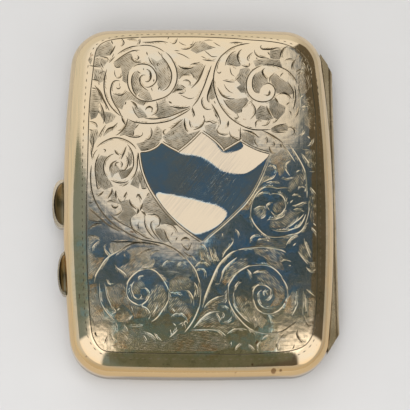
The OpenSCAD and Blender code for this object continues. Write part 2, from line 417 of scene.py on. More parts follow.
cuts = {
    "fine": [
        # upper left
        [(98, 74.5), (102, 72), (105, 71)], [(97, 87), (101, 92.5), (104, 99)], [(98, 113), (99.5, 110)],
        [(138, 46), (146, 45.3), (154, 46.5), (160, 49), (164.5, 52)], [(157.5, 51), (161.5, 56)],
        [(114.5, 70), (115, 75), (117, 78)], [(143.5, 68), (143.6, 70.3)], [(139.5, 94.5), (138, 96.5)],
        [(151, 87), (152.5, 91.5)], [(145.5, 102.5), (143.5, 105)], [(132, 106), (135, 113), (139, 118)],
        [(189.5, 44.7), (193, 44.5)], [(178.5, 41.5), (182, 44), (186.5, 45.5)], [(174, 50.5), (180, 51)],
        [(176, 52.5), (183, 55), (190, 59)], [(189.5, 70.5), (192, 74), (194.5, 79)],
        [(180, 94.5), (185, 97), (190, 98.7), (194.5, 97.5)], [(169, 36.8), (167.5, 39.5)],
        # between the upper scrolls
        [(201, 56), (204, 57.5), (206, 58)], [(204, 50), (208, 53.5), (212, 56.5), (217.5, 56.5)],
        [(209, 45.5), (212, 47), (216, 47.8)], [(213, 42), (218, 45), (221, 46.5)],
        [(224, 84), (226, 88), (229.5, 91.5), (233.5, 93.5)],
        [(230, 67), (230.5, 71), (232, 74.5), (235, 76.5)], [(214, 100.5), (215.5, 104)],
        [(203.5, 41), (208, 40), (213, 40.5)],
        # middle left
        [(92.5, 158), (94.5, 153), (97.5, 149)], [(173, 232), (171, 236)],
        [(139.5, 221), (138, 225), (139.5, 231)], [(89, 220), (94, 221), (99, 221.5), (104, 222)],
    ],
    "plain": [
        # upper left corner
        [(111, 40), (113, 44.5)], [(99.5, 56.5), (104, 57), (107.5, 58), (108.8, 60.5)],
        [(100, 62), (102, 65.5), (103.5, 68.5)], [(89, 65.5), (94, 66.2), (100.5, 67.3)],
        [(91.5, 79.5), (95, 79.7), (98, 80.7), (99.8, 83)], [(91.5, 88), (94, 88.2), (96.5, 89)],
        [(99.5, 102), (102, 107), (103.8, 113), (104.2, 120), (103, 124)],
        [(121, 38), (123.5, 41), (124, 43.5), (122, 46.5)], [(140, 38.5), (139.8, 42.5), (138.5, 45)],
        [(142, 42.2), (150, 42.2), (159, 41.4), (165, 42), (168.5, 42.8)],
        [(126.5, 39.3), (132, 39), (137, 39.2)],
        # upper left scroll
        [(106.8, 69), (104.8, 77), (104, 85), (104.8, 93), (107.5, 101), (112.5, 108.5), (117.5, 113.5),
         (121.5, 116.5)],
        [(120.5, 81), (116, 80.6), (113, 82), (111.3, 86), (110.5, 91), (111.5, 97), (114.5, 104),
         (118.5, 110), (121, 115), (123.5, 117.5)],
        [(112.5, 93.5), (117, 94.8), (121, 95.2), (124.5, 93.5), (127, 90.5)],
        [(116.3, 87), (117.5, 88.7), (119.5, 88.5), (120.7, 86)],
        [(113.5, 62.5), (117, 60), (121, 57), (126, 53.8), (132, 51), (140, 50)],
        [(117, 54.5), (122, 51), (127, 48.3), (133, 46.5), (139, 45.8)],
        [(165.5, 52), (170.5, 57), (174, 63), (176.3, 69), (177.2, 76), (176.5, 82), (174, 88), (170, 93.5),
         (165, 97), (158, 99.5), (150, 101.3), (143, 100.8), (137.5, 98.5), (133, 94.5), (129.5, 89.5),
         (127.8, 84), (127.6, 77.5), (128.7, 71.5)],
        [(161.8, 53), (162, 56.5), (166, 61.5), (169.5, 67.5), (171.6, 74), (171.2, 80), (169, 85.5),
         (165.5, 89.5), (162, 91)], [(109, 63), (112, 59.5), (115, 56.5)],
        [(131.5, 53.5), (131.2, 57), (133, 60.5), (137, 62.5), (142, 62)],
        [(137, 55.2), (138.8, 57), (138, 59.2), (136, 59.6)], [(146.5, 51.5), (147.5, 55.5)],
        [(148.5, 56.5), (149.5, 60), (152.5, 64.5), (155.5, 67.5)],
        [(158.8, 62.5), (157, 64.5), (158, 66.5)], [(114, 64.5), (116, 67), (118.5, 67.4), (121, 67.2)],
        [(116.2, 78), (119.5, 77.8), (121.5, 76), (123, 74.5)],
        [(132.8, 67.2), (137, 64.8), (142.5, 64), (149, 65.3), (153.5, 69), (156.6, 75.5), (156.3, 81),
         (153, 85), (148.5, 87.2), (144.5, 86.8)],
        [(135.5, 71), (132.7, 75), (131.6, 81), (132.3, 87), (134, 92), (137, 97)],
        [(146, 75), (142, 75.3), (139.7, 78.5), (140.2, 83), (143, 87), (148.8, 91.2)],
        [(137, 70.5), (139, 72.5), (141, 73.5)], [(154, 78.8), (153.5, 82)],
        [(161, 86.7), (158.8, 87.8), (158.6, 90.2)], [(126, 101), (125.5, 103.5), (124.5, 105)],
        [(156, 101), (157.5, 105), (157.6, 110), (155.5, 113.5), (151, 115.5)],
        [(144, 118), (149, 118.7), (154, 119), (161, 118.2), (168, 116.8), (176, 114), (184, 110.5),
         (191, 107.5)],
        [(128, 119), (133, 121.5), (140, 123), (150, 123.5), (161, 122.6), (170, 120.5), (178, 116.5),
         (186, 112), (191, 108.5)],
        # leaves between the upper scrolls
        [(177.5, 38), (176.5, 41), (174.5, 43.5), (171.5, 43.8)],
        [(180.5, 48.7), (184, 49.2), (188.5, 48.7), (192, 46.5), (194.5, 43.5), (196, 41.5)],
        [(189.5, 65.3), (193, 63.7), (197.5, 63), (200.5, 62)],
        [(179.5, 79), (181.5, 76), (185, 74.3), (188.5, 74.5), (191, 75.8)],
        [(182.5, 81.3), (185, 80), (188, 80.3), (190.3, 82.5), (189.7, 85.5)],
        [(180.5, 84.5), (183.5, 86.5), (186, 88.3)],
        [(211.5, 65), (209.5, 71), (207, 78), (204.5, 85), (201.5, 92), (198.5, 98.5), (195, 103.5),
         (192, 107)], [(177.5, 93), (181, 93.5), (185, 92.5)],
        [(203.5, 96.5), (201.8, 99.5), (202, 104), (203.8, 107.5), (206.5, 109.3), (212, 109)],
        [(202, 59.5), (208, 60.5), (215, 61)], [(217, 71.5), (218.5, 73), (220.5, 72.7), (221, 71)],
        [(203.5, 115), (204.3, 119)], [(214.8, 113.5), (216.5, 117.5)],
        # upper right scroll
        [(250, 43.3), (243, 44.2), (237, 45.8), (231, 48.3), (226, 52), (221, 56.5), (217.5, 62),
         (215.3, 68), (213.8, 75), (213.6, 83), (214.5, 90), (217, 98), (220.5, 105.5), (225, 112),
         (230, 117.5), (235, 121.5), (240, 124.5), (246, 127.5), (253, 129.5), (260, 130), (271, 129.5)],
        [(236, 51), (232, 53), (228.5, 57), (226.5, 61), (225, 66)],
        [(222.5, 80.3), (227, 81.3), (231, 82), (235, 82)], [(235, 80.5), (237.5, 78.5), (239.5, 76)],
        [(226, 64.5), (231, 64.3), (236, 66.5)], [(223, 99), (225.5, 103), (229, 107.5), (233.5, 111.5)],
        [(234, 117), (236, 118.7), (238, 117.5), (238.3, 115)], [(242, 108.5), (241, 113)],
        [(254.5, 49.5), (255, 53), (257.5, 56), (261.5, 57.5), (266, 58), (270, 58.7)],
        [(253, 52), (249.5, 55), (247.3, 58), (247.8, 61)],
        [(241, 65), (245.5, 66.5), (249, 66), (250, 63)], [(256, 57.5), (257.5, 59)],
        [(267.5, 51.5), (269.5, 55)], [(229, 43), (236, 42.3), (243, 42.8)],
        [(262, 65.3), (266, 65), (272, 65), (278, 66.3), (283, 68.2), (288, 71), (292, 75), (295, 79),
         (297.5, 84)],
        [(262, 65.3), (256, 68), (251, 72), (247.5, 78), (246.3, 85), (247, 91), (250, 96), (254.5, 99.8),
         (260, 101.7), (266, 101.6), (271, 99.5), (274, 96), (275.2, 91), (274, 87), (271.5, 84.5),
         (268, 83.2), (263.5, 85.3)],
        [(257, 72.5), (254, 76), (252.5, 82), (253, 88), (255.5, 92), (259.5, 93.5)],
        [(275, 72.5), (272.5, 75), (270, 77.5), (269.5, 80), (269.8, 83)],
        [(283.5, 72.5), (281, 75), (280.5, 77)],
        [(287, 81), (290, 85), (292.8, 90), (293.5, 95), (293, 99.5)],
        [(290, 101.5), (288, 103.5), (286, 105.5)], [(261, 105.5), (259, 108), (257.5, 110)],
        [(250, 101), (253, 104.5), (255.2, 108.5), (255, 113.5), (252.5, 117), (250, 119.5)],
        [(242, 108.5), (245, 105), (248, 101.5)], [(284.5, 60.8), (287, 59.3), (290.5, 58.8), (294, 59.2)],
        [(294.5, 49.5), (297, 47)], [(299.5, 49.5), (300.5, 54), (299, 58)],
        [(295.5, 72.5), (297.5, 70.5), (300, 69.5), (303, 69)],
        [(298, 85), (300, 95), (300, 105), (298, 113), (295, 118)],
        [(294.5, 85), (295.5, 95), (295, 103), (293, 110)], [(289, 110.5), (290.8, 112.5), (291, 115)],
        [(300, 98), (302.5, 96), (304, 95.5)], [(301, 107.5), (305, 106), (309, 107)],
        [(302, 110), (306, 109.5)], [(296.5, 75.5), (300, 72.5), (304, 71)],
        [(303, 62), (304.5, 66), (303.5, 69)],
        # middle left
        [(139, 124), (137, 126), (135.5, 128.5)], [(106, 124.5), (103, 129), (100, 134), (98.5, 138)],
        [(89, 121.5), (93, 122), (96, 123.5), (97.8, 127)], [(89, 129.5), (93, 130.5)],
        [(93.5, 136), (93.8, 141), (93, 147), (91.8, 153)], [(91, 147), (91.5, 155), (92.5, 160)],
        [(96.5, 147.5), (101, 143.5), (107, 140), (113, 138), (119, 138), (124.5, 139.5), (129.5, 142),
         (134, 146), (136.5, 149.5)],
        [(99.5, 153.5), (97, 159), (95.5, 165), (95.2, 171), (96, 178), (96.8, 184), (98, 189),
         (101, 186.5)],
        [(91.5, 165), (90.8, 172), (90.7, 180), (91.5, 188), (94, 198), (98, 206), (103, 213.5), (109, 220),
         (116, 226), (124, 231), (133, 236), (142, 239.5), (152, 241.5), (162, 243.5), (170, 246.5),
         (177, 250.5), (184, 256.5), (190, 263), (195, 270), (198, 278), (200, 285), (200.5, 293),
         (200, 300), (199, 307), (196.5, 314), (193, 321), (189, 327), (184.5, 332.5)],
        [(114.5, 153.5), (110, 155.5), (106, 159), (104, 164), (103.8, 170), (105.5, 175), (108, 178)],
        [(110.5, 180), (115, 182), (120, 183), (125, 182.3), (129, 180.5)],
        [(125.5, 155), (127.5, 158), (128.2, 162.5), (127, 167), (124.5, 170), (121, 171), (118.5, 170.5)],
        [(119.5, 162.5), (116.8, 162.3), (115.3, 164.5), (116.5, 167)],
        [(120.5, 161), (122.3, 163.5), (122, 167)],
        [(127, 144), (129.5, 147), (132.5, 153), (133.7, 160), (133, 167), (130, 172.5), (126, 177),
         (121, 179)], [(138, 152), (137.5, 160), (137, 168), (134.5, 175), (130.5, 180)],
        [(103, 149), (105.5, 150), (104.5, 152.5)], [(129, 182), (126, 184.5), (122, 186.5)],
        [(139.5, 170), (139, 176), (139.7, 183)], [(141.5, 188.5), (144, 188.7), (147, 188)],
        [(149.5, 192.5), (148, 194), (146.5, 196.5)],
        [(123, 134), (127, 135.5), (131, 136.8), (136, 137.3), (140, 136.5), (142.5, 134.5), (142.5, 132)],
        [(133.8, 130.5), (133.5, 134), (132, 136.5)],
        [(150.5, 127), (152, 131), (151.5, 135), (149.5, 138.5), (144, 141)],
        [(89, 209), (95, 213.5), (101, 219), (107, 224), (113, 228), (120, 231.5)],
        [(88, 203), (93, 202.5)],
        [(110, 214), (116, 219.5), (123, 224), (131, 228), (138, 232.5), (145, 237), (153, 240)],
        [(88, 229.5), (92, 226), (97, 223.5), (103, 223)], [(88, 234.5), (94, 236), (100, 238)],
        [(101, 240), (96.5, 243), (93, 247), (92, 252)],
        [(106, 244), (104, 247), (105, 251), (108, 255), (110, 256.5)],
        [(108.5, 247), (110, 251), (112.5, 254)],
        [(110, 241.2), (118, 242), (127, 241.8), (136, 242.3), (146, 242)],
        [(106.5, 202.5), (110, 200.5), (113, 200)], [(112, 215), (117, 214.8), (121, 212), (123, 208.5)],
        [(118, 198), (119.5, 201), (122, 203)],
        [(130.5, 218), (130.5, 223), (132.5, 228.5), (136, 233), (140, 235.5)],
        [(145, 217), (144.7, 223), (147, 229.5), (151, 235), (155.5, 239.5)],
        [(147, 214.5), (152, 214.2), (156.5, 215.2), (159.5, 218), (160.2, 222), (158.5, 226), (155, 228)],
        [(154.5, 220.5), (151.5, 222), (150.8, 226), (152.5, 230.5), (156.5, 236), (160, 240)],
        # over the shield
        [(189.5, 120), (190, 124.5), (191.5, 128)],
        [(166.5, 129.2), (163.8, 130.5), (163.3, 133), (165, 135)], [(174, 132), (173, 134.5)],
        [(219.5, 118), (220.3, 122), (220.5, 125)],
        [(204, 119), (206, 122), (210, 121.5), (213.5, 123.5), (217, 122.5)],
        [(218.5, 127), (216.8, 129.5), (218, 132.5), (221.5, 134.5), (225.5, 135), (229, 133.5)],
        [(229.5, 131), (230.5, 135.5), (234, 138), (239.5, 140), (240.3, 132), (240.5, 127)],
        # right of the shield
        [(256, 128), (255.5, 123), (257.5, 120.5), (261, 120)],
        [(261.5, 125.7), (265, 125.5), (268.5, 123.5), (270.5, 120)],
        [(272.5, 123.5), (276, 121), (279, 118)], [(271, 128.5), (276, 126), (282, 124.5), (287, 123.5)],
        [(271, 131.5), (278, 132.3), (286.5, 132)],
        [(287, 129), (289.5, 127), (293, 128.5), (294.5, 131), (293.5, 134), (291, 135.5)],
        [(255.5, 138), (254.5, 141), (256, 144), (258.5, 147)], [(266, 136), (267.5, 140), (266.5, 144)],
        [(273.5, 141), (274.5, 144), (273.5, 147)], [(281, 143), (286, 149), (291, 156), (295, 162)],
        [(288, 144.5), (293, 150), (297, 156), (300, 161), (303, 167), (305.5, 174), (306.5, 182),
         (307, 190), (307, 198)],
        [(290, 176), (287, 172), (285, 168), (285.5, 164.5), (288, 162), (291, 160.5)],
        [(276, 174), (273, 178), (268, 180), (264, 182)],
        [(268, 167), (271, 165), (275, 167), (276.5, 171), (275.5, 174.5)],
        [(296, 172.5), (299, 170.5), (300.5, 171)], [(281, 178), (286, 179.5), (291, 179.5)],
        [(266, 183), (272, 181.5), (279, 181)], [(256, 197.5), (259, 194), (264, 192), (270, 192.3)],
        [(298, 190), (299, 187), (302, 186), (304, 187)], [(292, 196), (295, 194), (299, 194.5)],
        [(301.5, 153.5), (305, 158), (308.5, 163), (310, 168)], [(310, 187), (313, 190.5), (316, 194)],
        [(309.5, 171.3), (315, 171.6)], [(302, 149), (308, 149.5)], [(314, 138), (313, 142), (311, 146)],
        [(304.5, 129), (304, 133), (301, 136)], [(307, 136), (310, 138.5)],
        # small spiral, right
        [(289, 188), (283, 187.5), (277, 188), (270, 186.5), (264, 187.5), (258.5, 191.5), (254, 198),
         (251.3, 205), (250.5, 212), (251, 217), (253, 222), (256.5, 227), (260, 231), (265, 235),
         (271, 236.8), (278, 237), (285, 236), (292, 234.5), (298, 233), (303, 229), (306, 221), (308, 214),
         (309, 207), (308.5, 201)], [(253.5, 209.5), (258, 207), (262, 206), (266, 207)],
        [(273, 202.5), (269.5, 203), (266.5, 205.5), (267, 209)],
        [(271, 211), (273, 214), (277, 215.5), (281, 214), (284, 210.5), (285.5, 206), (285, 201),
         (282, 196), (277, 193.5), (271, 194)], [(261, 219), (264, 217), (266, 214.5)],
        [(267, 220.5), (270, 219), (275, 219.3), (279, 218), (283, 216.5), (285, 214)],
        [(271, 229), (276, 230.5), (282, 231), (288, 230.5), (294, 228.5), (299, 226.5), (303, 221),
         (306, 214)], [(286, 228), (291, 225.5), (296, 221.5), (300, 218.5), (304, 214)],
        [(290, 203), (293, 200)], [(292, 206), (297, 205), (303, 202.5), (307, 201.5)],
        [(293, 210), (298, 208.5), (303, 209)],
        [(250, 243.5), (250.5, 239), (253, 236), (257, 234.5), (260, 234)],
        [(257.5, 242), (258.5, 239.5), (262, 238.5), (268, 238.5)],
        [(286, 245.5), (288, 242), (291, 238.5), (294, 236), (298, 234.5)], [(293, 246), (296, 243)],
        [(304, 238), (305, 243), (307, 249), (309, 254), (311, 258)],
        [(298, 251.5), (301, 256), (305, 261), (308, 264.5)], [(309, 262.3), (315.5, 262.8)],
        [(306, 267), (310, 271.5), (315.5, 272)], [(313, 223), (316, 226)],
        [(311, 227), (314, 230), (316.5, 233)], [(281, 262), (284, 259.5), (288, 259)],
        [(288, 265), (291, 266)], [(264, 250), (268, 250.5)],
        # under the shield
        [(164.5, 223.8), (169, 224.2), (173, 225.8), (176, 229), (178, 233)],
        [(162, 228), (165, 232), (166.5, 236.5), (169, 241), (172, 245)], [(177.5, 236.5), (175.5, 241)],
        [(181, 243), (184, 247), (188, 250), (190, 247), (192, 242.5)],
        [(183, 251), (188, 255), (193, 257), (196, 261)],
        [(198, 245), (202, 244.5), (205, 247), (207.5, 251)], [(199, 250), (200, 256), (202, 261)],
        [(206, 250), (207, 255), (210, 262)], [(213, 247), (214.5, 255), (218, 262)],
        [(209, 247), (211, 255), (214, 262)],
        [(195, 267.5), (198, 263.5), (202.5, 262), (207, 263.5), (210, 266)],
        [(196, 272), (199, 268.5), (203, 269), (205.5, 272), (206.5, 278)],
        [(222, 258), (225, 252), (229, 247.5), (232.5, 243), (233.5, 238)],
        [(235, 229), (238, 232), (240, 236)], [(222, 233), (222.5, 236.5)],
        # lower left scroll
        [(162, 246.5), (155, 244.3), (147, 243), (140, 242.8), (133, 243.5), (127, 246), (121, 250),
         (115, 253), (110, 256), (105, 260.5), (100, 268), (95.5, 276), (94, 283)],
        [(115, 265), (117, 268), (120, 270), (122, 271.5), (125, 274), (127, 278)],
        [(136, 255), (142, 252), (149, 249.5), (155, 248.5)],
        [(150, 257), (151.5, 253.5), (155, 251), (160, 250.5)], [(153, 258), (154, 262), (152.5, 266)],
        [(124, 253.5), (125, 257)],
        [(142, 305.5), (137, 304.5), (132, 302), (129, 299.5), (127, 296), (126.3, 290), (127.5, 283),
         (130.5, 278), (135, 273.5), (141, 270), (148, 268.5), (155, 271), (161, 277), (165.5, 284),
         (168, 290), (168.5, 296), (167.5, 302), (165, 307), (162, 311), (159, 315.5), (155, 319.5),
         (151, 322)],
        [(134.5, 281), (132, 285), (131.3, 290), (132.5, 293.5), (134, 297), (137, 298.7), (140, 298.5),
         (141.5, 296), (140.3, 294)],
        [(141, 288.5), (145, 288), (148, 290.5), (149.5, 294), (148, 299), (145.5, 302), (142, 305),
         (142, 306), (146, 308), (149, 311.5), (150, 316), (148.5, 319.5)],
        [(153, 313), (156, 309), (158, 304)], [(138, 281), (139, 277), (142, 275)],
        [(99.5, 283), (99.3, 292), (100, 300), (103, 307), (107, 313), (111, 317.5), (115, 321)],
        [(104.5, 283), (105.5, 290), (107, 297), (110, 304), (113, 310)],
        [(112, 306), (114, 309), (115.5, 312), (112, 313.5)], [(117, 310.5), (120, 308)],
        [(115.5, 322), (117, 327), (116.5, 331)], [(123.5, 325), (126, 327.5), (128, 331.5)],
        [(124, 334.5), (126.5, 337.5), (128, 340)], [(110, 334), (112.5, 339), (116, 342.5)],
        [(133, 312), (131, 306)], [(132.5, 315), (130.5, 318), (128.5, 320.5)],
        [(128, 325.5), (135, 326.3), (143, 326.5)], [(143, 331), (148, 333), (152.5, 335.5), (156, 339)],
        [(154, 333), (156, 336.5), (158.5, 340)], [(143.5, 335), (146, 339), (147, 341)],
        [(108, 335), (106, 339), (104.5, 344)], [(106.5, 279), (108, 283), (111, 285)],
        [(171, 317), (174, 314.5), (180, 313), (184, 315), (186, 317.5)], [(173, 323), (176, 326)],
        [(170, 329), (171, 334)], [(169.5, 337.5), (174, 333.5), (178, 329.5)], [(175, 312), (172, 308)],
        [(162, 267), (164, 263.5), (168, 260.5), (172, 260)],
        [(177, 268), (178.5, 264), (182, 262), (186, 263)],
        # lower right scroll
        [(204, 308), (208, 303), (212, 300), (218, 297), (225, 295)], [(216, 313), (219, 317), (221, 321)],
        [(222.5, 312), (224, 315.5), (222.5, 319)], [(222, 322), (227, 322.5), (232, 320)],
        [(220, 305.5), (225, 306), (229, 308.5)], [(215, 284), (220, 283.5)],
        [(283, 278), (276, 270.5), (270, 266.5), (264, 264.8), (256, 265), (249, 266), (243, 269),
         (237, 273), (232, 279.5), (228.5, 286), (227.8, 293), (228.5, 300), (231, 307), (235, 314),
         (240, 320), (246, 326), (252, 330), (258, 332), (266, 333.5), (274, 332.8), (281, 331.5),
         (286, 329), (290, 326), (294.5, 323), (297, 319)],
        [(234, 292), (233, 298), (233.5, 304), (236, 309), (240, 314), (245, 319), (250, 322.5)],
        [(234, 292), (235.5, 286), (239, 281)],
        [(272.5, 293), (270, 289), (266, 286), (261, 284.5), (256.5, 286), (253.5, 290), (252.5, 296),
         (254.5, 304), (257, 309), (261, 312), (267, 313.5), (273, 313), (278, 311), (282, 307.5),
         (285, 303), (287.5, 297), (287.5, 290), (285, 283), (281, 277)],
        [(262, 290), (259, 292), (257.5, 297), (259, 303), (262, 306.5), (267, 308), (272, 307.5)],
        [(271.5, 288), (272, 294), (270, 299), (267, 301)],
        [(265, 296), (263, 293.5), (264.5, 291), (267, 292)],
        [(298, 288), (297.5, 296), (297, 304), (295, 310), (291.5, 316)],
        [(268, 314), (270, 319), (272, 325)], [(258.5, 352), (257, 348), (258, 344), (261, 341)],
        [(248, 344), (252, 347), (255, 350)], [(262, 340), (265, 336.5), (271, 334.5), (280, 334)],
        [(231, 346), (231.5, 341.5)], [(235, 351), (236.5, 347), (240, 343)],
        [(227, 334), (231, 331), (236, 328.5), (242, 328.5), (247, 330)],
        [(305, 320), (307, 324), (311, 327.5)], [(306, 289), (310, 292.5), (315, 296.5)],
        [(304, 336.5), (304.6, 337.5)], [(294.5, 344), (293.5, 347.5), (292, 349.5)],
        [(303.5, 290), (303.5, 300), (303, 312), (304.5, 322)], [(307.5, 296), (307.5, 306), (307.8, 316)],
        [(188, 324), (186, 321), (184, 323.5), (186, 326)],
    ],
    "bold": [
        [(115.5, 45.5), (113, 50), (109.5, 56)],
        [(94.5, 85), (98, 90), (101.5, 96), (105, 102.5), (109.5, 111)],
        [(146, 69), (149.5, 70.8), (151, 75.5), (150, 79.8), (147.5, 81.8), (144.8, 81.2)],
        [(130.5, 101), (134, 103), (136.5, 106), (137.5, 109)],
        [(145.5, 110.5), (146.5, 108), (149.5, 106.7), (152, 107.8), (152.8, 110.5)],
        [(178, 65), (181, 67.5), (186, 68.6), (191, 68.2), (194, 66.5)],
        [(205.5, 64.5), (203.5, 69), (201, 75), (197.5, 81.5), (194, 85.5), (191, 88.5)],
        [(213.5, 77), (212, 82), (210.5, 87), (208.8, 92), (207.5, 97), (207.8, 100.5), (209.5, 103)],
        [(172, 93.5), (174.5, 91), (178, 89.5), (184, 90)], [(168.5, 101.5), (170.5, 102.5), (172, 103.5)],
        [(169.5, 106), (174, 107.2), (180, 108), (186, 107.8), (190.5, 106.3)],
        [(192, 107), (193.2, 111), (195, 116.5)],
        [(242, 49), (239, 52), (237.5, 56), (238.5, 61), (241, 65)],
        [(217.5, 87), (219.5, 91.5), (222.5, 95.5), (227, 98), (231, 98.9), (235, 98.5)],
        [(211.5, 103.5), (214.5, 108.5), (217.5, 114), (220.5, 120)],
        [(262, 44.8), (260.5, 46.5), (262, 49), (266, 49.3), (272, 49), (276, 48), (281, 48.2)],
        [(288, 46.5), (284.5, 47.8), (282, 51), (280.5, 55), (279.8, 59)],
        [(269.5, 90), (269.8, 93), (268, 95.3), (265.5, 95.6)],
        [(265, 68), (262.5, 70.5), (263, 74), (265.5, 77.5), (268, 79.5)],
        [(278, 94.5), (282, 93), (286, 93.5), (289.5, 96), (291.5, 99)],
        [(274.5, 97), (276.5, 100), (278.5, 103)], [(266.5, 105.5), (267.5, 109), (269.5, 113), (272, 117)],
        [(296, 59), (293.5, 62), (292, 66), (291.8, 70)], [(121.5, 116), (123, 120.5), (125.5, 125)],
        [(128, 118), (127, 122), (125.5, 126), (122.5, 130), (119, 133.5), (115.5, 135.5)],
        [(118, 122.5), (113, 127), (108, 129), (104.5, 133.5)],
        [(117, 160.5), (113, 162.5), (110.3, 166.5), (110, 172)],
        [(126.5, 146), (125, 150), (123, 155), (121, 159.5)],
        [(114.5, 149.5), (116.5, 153), (119.5, 155.5)],
        [(112, 188), (111.8, 192), (109.5, 196), (107.5, 199)], [(104, 191), (101, 194), (97.5, 196.5)],
        [(116, 190), (115.5, 194), (116.5, 199)], [(127, 191.5), (125.5, 194.5), (123.5, 198)],
        [(136.5, 198), (138, 194.5), (140, 196.5), (142, 200)],
        [(111.5, 204.5), (113, 207), (116, 207.8), (118.5, 205.5)],
        [(129.5, 199), (130.5, 203.5), (133.5, 207), (137, 209.5)],
        [(142.8, 203), (141.5, 207), (140, 211)], [(141, 211), (144, 213), (146, 216)],
        [(137.5, 208), (138.5, 211), (137, 214)],
        [(184.5, 118), (184.5, 124), (186, 129.5), (188.5, 132.5)],
        [(183, 119), (178, 123), (173.5, 127), (170, 129.5)],
        [(205, 118), (204, 122), (201.5, 126), (197.5, 128.5), (193, 130)],
        [(228.5, 120.5), (228.2, 124), (227.7, 127.5)],
        [(242, 129.5), (248, 131), (254, 133.5), (259.5, 138)],
        [(262, 130.5), (268, 133), (274, 136.5), (280, 140.5), (283.5, 144)],
        [(269, 146), (270.5, 151), (273, 153.5), (276, 154)], [(280.5, 143.5), (281.5, 148)],
        [(181, 241), (183, 238.5), (187, 238), (190, 240)],
        [(238, 250), (232, 252.5), (226, 257.5), (220, 264), (216, 271), (213, 278), (210, 285),
         (206.5, 294), (204, 301), (202, 308)],
        [(237, 257.5), (235, 259), (229, 264), (224, 270), (221, 278), (219.5, 283)],
        [(238, 250), (245, 248.5), (255, 247), (265, 246.5), (276, 248.5), (282, 250.5), (286, 252.5)],
        [(253, 273.5), (257, 271.5), (262, 270.8), (267, 270.7)], [(247, 269), (250, 273), (252, 278)],
        [(184, 290), (188, 291), (191, 295), (193, 300), (193.8, 306)],
        [(170, 293), (175, 292), (181, 292.5)], [(194, 282), (196.5, 287), (197, 293), (196, 297)],
        [(193.5, 328), (198, 323), (203, 317.5), (209, 313.5), (214, 311.5), (220, 311.5)],
        [(190, 330), (200, 329), (208, 329), (214, 329.5), (220, 331.5), (226, 336)],
        [(278, 351), (277, 345), (279, 340), (282, 336), (284, 334)],
        [(297.5, 330), (297, 335), (299.5, 339.5), (302.5, 343)], [(95, 331), (95.5, 334), (97, 336.5)],
        [(254, 316), (255.5, 321), (256.5, 327)],
    ],
}

shieldEdge = [  # from the left tip by way of the upper peaks
    [(140.5, 152.5), (147, 152), (153, 149.8), (158, 146.8), (161.5, 143)],
    [(161.5, 143), (170, 148.2), (178.5, 152.5)],
    [(178.5, 152.5), (190, 143.3), (201.5, 132)],
    [(201.5, 132), (208, 136.5), (215, 142), (220, 147), (223.5, 151.5)],
    [(223.5, 151.5), (232, 146.5), (240.5, 141.5)],
    [(240.5, 141.5), (249, 146.5), (259, 151), (269.5, 154)],
    [(269.5, 154), (266.5, 160), (263.5, 168), (260, 177), (255.5, 186), (250, 195), (243, 204), (235, 212),
     (227, 219.5), (218, 227.5), (209, 235), (202.8, 241)],
    [(202.8, 241), (195, 236), (186, 229.5), (177.5, 222.5), (169.5, 214.5), (162, 205.5), (155.5, 196),
     (150, 187), (146, 178), (143, 169), (141.3, 160), (140.5, 152.5)],
]
# the shield is dished by polishing: these parts of it catch the window
shieldLit = [
    [(180, 152), (190, 143), (201.5, 132), (212, 140), (223.5, 152.5), (232, 152), (240, 149), (243, 146),
     (240.5, 141), (250, 146), (270, 153), (264, 161), (258, 166), (252, 170.5), (246, 173.5), (238, 174),
     (230, 173), (223, 171), (217, 167), (212, 163), (207, 159.5), (200, 156), (190, 154)],
    [(157, 194), (168, 195), (179, 197), (193, 200), (205, 203), (216, 205.5), (223, 209), (227, 213),
     (224, 219), (218, 225), (210, 229.5), (203, 232), (196, 233.5), (188, 229), (178, 221), (169, 213),
     (162, 204)],
]
borderLines = {
    "outer": [(140, 34.8), (160, 34), (200, 34), (225, 35), (240, 36), (255, 37), (270, 38.5), (285, 41.5),
              (297, 46.5), (306, 53.5), (312.5, 63), (316, 76), (318, 90), (319.3, 120), (320, 160),
              (320.3, 200), (320.3, 240), (320, 280), (319, 310), (317, 328), (314, 340), (308.5, 348),
              (300, 354), (290, 357), (270, 358.5), (240, 359), (200, 359), (160, 358.8), (130, 358),
              (115, 357), (104.5, 355), (97, 351), (91.5, 344.5), (87.5, 335), (85.5, 320), (84.3, 300),
              (83.3, 270), (82.6, 240), (82.2, 200), (82.6, 160), (83.5, 130), (85, 100), (87, 75),
              (90, 56), (94, 47.5), (100, 42), (107, 38.8), (115, 37), (126, 35.6)],
    "inner": [(140, 37.3), (160, 36.9), (180, 36.9), (200, 37), (220, 37.8), (235, 38.6), (250, 39.9),
              (262, 40.7), (275, 42.2), (285, 44.3), (295, 48.5), (302, 54), (307.5, 61.5), (311, 76),
              (312.5, 90), (315, 110), (316.3, 140), (316.8, 180), (317, 220), (317, 260), (316.5, 300),
              (315, 320), (311.5, 337), (304, 346), (292, 350.5), (281, 352), (255, 354), (230, 354.5),
              (200, 354), (160, 353.5), (130, 352.8), (115, 352), (105, 350.8), (99.5, 347.5), (93.5, 338),
              (90.8, 325), (89.5, 310), (88.5, 290), (87.3, 265), (86.6, 240), (86.6, 200), (87.6, 165),
              (88.2, 140), (88.7, 120), (89.6, 103), (91, 88), (93, 72), (94.5, 58), (96.5, 50),
              (100.5, 44.5), (107, 41), (115, 39.2), (126, 38)],
}
